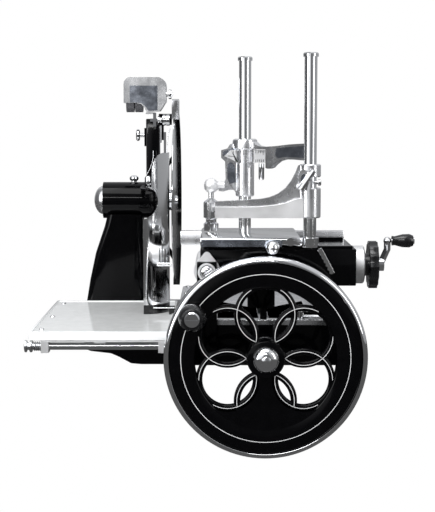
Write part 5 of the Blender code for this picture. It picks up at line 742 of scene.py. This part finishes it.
# Press
def make_press():
    """Cast press: swept web, wide foot, split sleeve on the right rod, thumb boss and screw."""
    cast, pale = (ALLOY, "press", "polished_aluminium"), (PALE, "press", "polished_aluminium")
    dark = (PAINTED_SHADE_AND_REFLECTION, "press", "polished_aluminium")
    x, y = RIGHT_ROD
    at = (x, y, 0)
    bore, out, edge = ROD_BORE, 0.018, 0.0016
    web = [(-0.084, 0.262), (-0.084, 0.2855), (-0.060, 0.2865), (-0.034, 0.2880), (-0.008, 0.2895),
           (0.008, 0.2925), (0.022, 0.2985), (0.034, 0.3075), (0.044, 0.3200), (0.051, 0.3335),
           (0.056, 0.3460), (0.062, 0.3475), (0.064, 0.262)]
    slab("press_web", web, 0.2495, 0.2605, upright(0), *cast, 0.0042, 5, ("press_arm",))
    foot = [(-0.084, 0.258), (-0.084, 0.2765), (-0.045, 0.2762), (-0.010, 0.2768), (0.018, 0.2795),
            (0.036, 0.2835), (0.050, 0.2895), (0.064, 0.2915), (0.064, 0.258)]
    slab("press_foot", foot, 0.2600, 0.2685, upright(0), *pale, 0.0018, 4)
    block("press_sole", (-0.083, -0.262, 0.2581), (0.060, -0.160, 0.266), *pale, 0.002)
    for name, z0, z1 in (("press_sleeve_low", 0.258, 0.3085), ("press_sleeve_high", 0.3265, 0.348)):
        sleeve = [(bore, z0), (out - edge, z0), (out, z0 + edge), (out, z1 - edge), (out - edge, z1),
                  (bore, z1)]
        lathe(name, sleeve, at, Z_AXIS, *cast, 64)
    neck = []
    for r, angles in ((bore, range(100, 271, 10)), (out, range(270, 99, -10))):
        neck += [(r * math.cos(math.radians(a)), r * math.sin(math.radians(a))) for a in angles]
    slab("press_sleeve_neck", neck, 0.3075, 0.3275, Matrix.Translation(at), *cast)
    screw = [(0, 0.0095), (0.004, 0.009), (0.0052, 0.0075), (0.0052, 0.0045), (0.003, 0.004),
             (0.003, -0.004), (0, -0.004)]
    lathe_many("press_screw", screw, [(x + 0.0085, y - 0.0112, 0.3175)], X_AXIS, CHROME, "press", "chrome")
    boss = oval((0.0632, 0.3255), 0.0078, 0.0148, 32)
    slab("press_boss", boss, 0.2685, 0.2745, upright(0), *cast, 0.0028, 5)
    # Painted shade: a thin dark bluish patch on the boss stands for the shade and dark reflection in its
    # hollow
    hollow = oval((0.0632, 0.3250), 0.0042, 0.0078, 24)
    slab("press_boss_hollow_painted_shade", hollow, 0.2738, 0.2748, upright(0), *dark, 0.0004, 2)


make_press()


# Table, rail end, deflector foot and screws
def make_table():
    """Painted reflection: a dark bluish metal band on the table's chrome front, standing for the dark
    surroundings it mirrors.
    """
    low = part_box("table_top")[0]
    left, right, under, over = low.x + 0.002, 0.028, 0.2098, 0.2215
    band = [(left, under), (right, under), (right + 0.002, over), (left, over)]
    slab("table_front_painted_reflection", band, -low.y - 0.001, -low.y + HAIR, upright(0), PAINTED_SHADE_AND_REFLECTION, "table", "chrome")


def make_rail_end():
    """Groove, ring and boss on the front support at the rail's end; trim of the deflector's foot."""
    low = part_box("front_support")[0]
    rail_low, rail_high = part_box("carriage_rail")
    at = Vector(((rail_low.x + rail_high.x) / 2, low.y, (rail_low.z + rail_high.z) / 2))
    groove = [(0, -0.0005), (0.0170, -0.0005), (0.0170, 0.0012), (0, 0.0012)]
    lathe("rail_end_groove", groove, at, -Y_AXIS, BLACK, "stand", "black_enamel", 64)
    ring = [(0.0118, 0), (0.0155, 0), (0.0155, 0.0035), (0.0148, 0.0045), (0.0125, 0.0045),
            (0.0118, 0.0038)]
    lathe("rail_end_ring", ring, at, -Y_AXIS, PALE, "stand", "chrome", 64)
    boss = [(0, 0.0062), (0.004, 0.0060), (0.0080, 0.0050), (0.0105, 0.0032), (0.0116, 0.0008), (0.0116, 0),
            (0, 0)]
    lathe("rail_end_boss", boss, at, -Y_AXIS, CHROME, "stand", "chrome", 64)
    foot_low, foot_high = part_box("deflector_foot")
    tray_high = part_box("tray")[1]
    block("foot_strip_end", (foot_high.x + 0.0004, foot_low.y, tray_high.z - 0.0016),
          (tray_high.x - 0.0005, foot_low.y + 0.016, 0.0795), PLASTIC, "stand", "black_plastic", 0.0006)
    front = foot_low.y - 0.0006
    bar("foot_line", [(foot_low.x + 0.018, front, 0.0775), (tray_high.x - 0.001, front, 0.0775)], 0.0009,
        CHROME, "stand", "chrome")


def make_screws():
    """Screw heads along both edges of the deck and at the tray's left end."""
    head = [(0, 0.0022), (0.0026, 0.002), (0.0042, 0.0013), (0.0046, 0), (0, -0.0008)]
    places = [(x, y, 0.0801) for x in (-0.142, 0.142) for y in (-0.215, -0.11, 0.0, 0.11, 0.215)]
    lathe_many("deck_screws", head, places, Z_AXIS, CHROME, "stand", "chrome", 20)
    low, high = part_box("tray")
    places = [(low.x + 0.018, y, high.z - 0.0014) for y in (-0.245, -0.10, 0.07)]
    lathe_many("tray_screws", head, places, Z_AXIS, CHROME, "stand", "chrome", 20)


make_table()
make_rail_end()
make_screws()


# World, floor, lights, camera
def world_ramp(tree, value, stops, tint):
    """Brightness by a value from 0 to 1, in a tint."""
    ramp = node(tree, "ShaderNodeValToRGB")
    elements = ramp.color_ramp.elements
    while len(elements) < len(stops):
        elements.new(0.5)
    for element, (at, level) in zip(elements, stops):
        element.position = at
    for element, (at, level) in zip(elements, stops):
        element.color = (level * tint[0], level * tint[1], level * tint[2], 1)
    tree.links.new(value, ramp.inputs["Fac"])
    return ramp.outputs["Color"]


def make_world():
    """White to the camera; to everything else bright at front left, dim in front and left, else grey."""
    world = bpy.data.worlds.new("studio")
    bpy.context.scene.world = world
    world.use_nodes = True
    tree = world.node_tree
    tree.nodes.clear()
    coords = node(tree, "ShaderNodeTexCoord")
    split = node(tree, "ShaderNodeSeparateXYZ")
    tree.links.new(coords.outputs["Generated"], split.inputs["Vector"])
    back = node(tree, "ShaderNodeMath", operation="MULTIPLY")
    tree.links.new(split.outputs["Y"], back.inputs[0])
    back.inputs[1].default_value = -1
    azimuth = node(tree, "ShaderNodeMath", operation="ARCTAN2")
    tree.links.new(split.outputs["X"], azimuth.inputs[0])
    tree.links.new(back.outputs[0], azimuth.inputs[1])
    turn = spread(tree, azimuth.outputs[0], 0, 1, -math.pi, math.pi)
    round_about = world_ramp(tree, turn, [
        (0.0, 0.75), (0.08, 0.75), (0.14, 0.25), (0.30, 0.22), (0.345, 1.9), (0.46, 1.7), (0.49, 0.32),
        (0.535, 0.26), (0.57, 0.62), (0.80, 0.70), (0.90, 0.75), (1.0, 0.75)], (0.985, 1, 1.03))
    height = world_ramp(tree, spread(tree, split.outputs["Z"], 0, 1, -1, 1), [
        (0.0, 0.55), (0.40, 0.75), (0.5, 0.9), (0.62, 1.0), (0.80, 1.5), (1.0, 1.8)], (0.5, 0.5, 0.5))
    mixed = node(tree, "ShaderNodeMix", data_type="RGBA", blend_type="MULTIPLY")
    mixed.inputs["Factor"].default_value = 1.0
    tree.links.new(round_about, mixed.inputs["A"])
    tree.links.new(height, mixed.inputs["B"])
    surroundings = node(tree, "ShaderNodeBackground", Strength=WORLD_STRENGTH)
    tree.links.new(mixed.outputs["Result"], surroundings.inputs["Color"])
    backdrop = node(tree, "ShaderNodeBackground", Strength=1.0)
    backdrop.inputs["Color"].default_value = (1, 1, 1, 1)
    path = node(tree, "ShaderNodeLightPath")
    chosen = node(tree, "ShaderNodeMixShader")
    tree.links.new(path.outputs["Is Camera Ray"], chosen.inputs["Fac"])
    tree.links.new(surroundings.outputs["Background"], chosen.inputs[1])
    tree.links.new(backdrop.outputs["Background"], chosen.inputs[2])
    out = node(tree, "ShaderNodeOutputWorld")
    tree.links.new(chosen.outputs["Shader"], out.inputs["Surface"])


def make_floor():
    """A pale floor, pure white to the camera."""
    bm = bmesh.new()
    corners = [bm.verts.new((x, y, FLOOR_Z)) for x, y in ((-6, -6), (6, -6), (6, 9), (-6, 9))]
    bm.faces.new(corners)
    mesh = bpy.data.meshes.new("floor")
    bm.to_mesh(mesh)
    bm.free()
    mat = bpy.data.materials.new("pale_floor")
    mat.use_nodes = True
    tree = mat.node_tree
    bsdf = tree.nodes["Principled BSDF"]
    bsdf.inputs["Roughness"].default_value = 0.9
    at = place(tree)
    tone = blend_colours(tree, noise(tree, at, 3), (0.78, 0.78, 0.78), (0.84, 0.84, 0.84))
    tree.links.new(tone, bsdf.inputs["Base Color"])
    glow = node(tree, "ShaderNodeEmission", Strength=1.0)
    dim = node(tree, "ShaderNodeEmission", Strength=FLOOR_IN_MIRRORS)
    path = node(tree, "ShaderNodeLightPath")
    mirrored = node(tree, "ShaderNodeMixShader")
    tree.links.new(path.outputs["Is Glossy Ray"], mirrored.inputs["Fac"])
    tree.links.new(bsdf.outputs["BSDF"], mirrored.inputs[1])
    tree.links.new(dim.outputs["Emission"], mirrored.inputs[2])
    chosen = node(tree, "ShaderNodeMixShader")
    tree.links.new(path.outputs["Is Camera Ray"], chosen.inputs["Fac"])
    tree.links.new(mirrored.outputs["Shader"], chosen.inputs[1])
    tree.links.new(glow.outputs["Emission"], chosen.inputs[2])
    tree.links.new(chosen.outputs["Shader"], tree.nodes["Material Output"].inputs["Surface"])
    mesh.materials.append(mat)
    floor = bpy.data.objects.new("floor", mesh)
    bpy.context.scene.collection.objects.link(floor)


def make_light(name, at, target, size, power):
    """A soft rectangular lamp that looks at a target."""
    data = bpy.data.lights.new(name, "AREA")
    data.shape = "RECTANGLE"
    data.size, data.size_y = size
    data.energy = power
    obj = bpy.data.objects.new(name, data)
    obj.location = at
    obj.rotation_mode = "QUATERNION"
    obj.rotation_quaternion = (Vector(target) - Vector(at)).to_track_quat("-Z", "Y")
    bpy.context.scene.collection.objects.link(obj)


def make_camera():
    """The photograph's camera: ahead of the operator's side, looking a little down."""
    data = bpy.data.cameras.new("camera")
    data.sensor_width = SENSOR
    data.sensor_fit = "AUTO"
    data.lens = FOCAL_PX / IMAGE_H * SENSOR
    data.clip_end = 50
    obj = bpy.data.objects.new("camera", data)
    obj.location = CAMERA_AT
    obj.rotation_euler = (math.radians(90 - PITCH_DOWN), 0, 0)
    bpy.context.scene.collection.objects.link(obj)
    bpy.context.scene.camera = obj


make_world()
make_floor()
make_light("soft_top", (-0.3, -0.7, 1.9), (-0.05, -0.1, 0.2), (1.6, 1.2), 22)
make_light("soft_left", (-1.6, -1.5, 0.9), (-0.05, -0.1, 0.2), (0.8, 1.6), 16)
make_light("strip", (-0.55, -2.6, 1.25), (-0.1, -0.1, 0.25), (1.6, 0.10), 9)
make_light("soft_right", (1.5, -1.3, 0.8), (0.0, -0.1, 0.2), (0.5, 1.4), 7)
make_camera()
bpy.context.scene.view_settings.view_transform = "Standard"
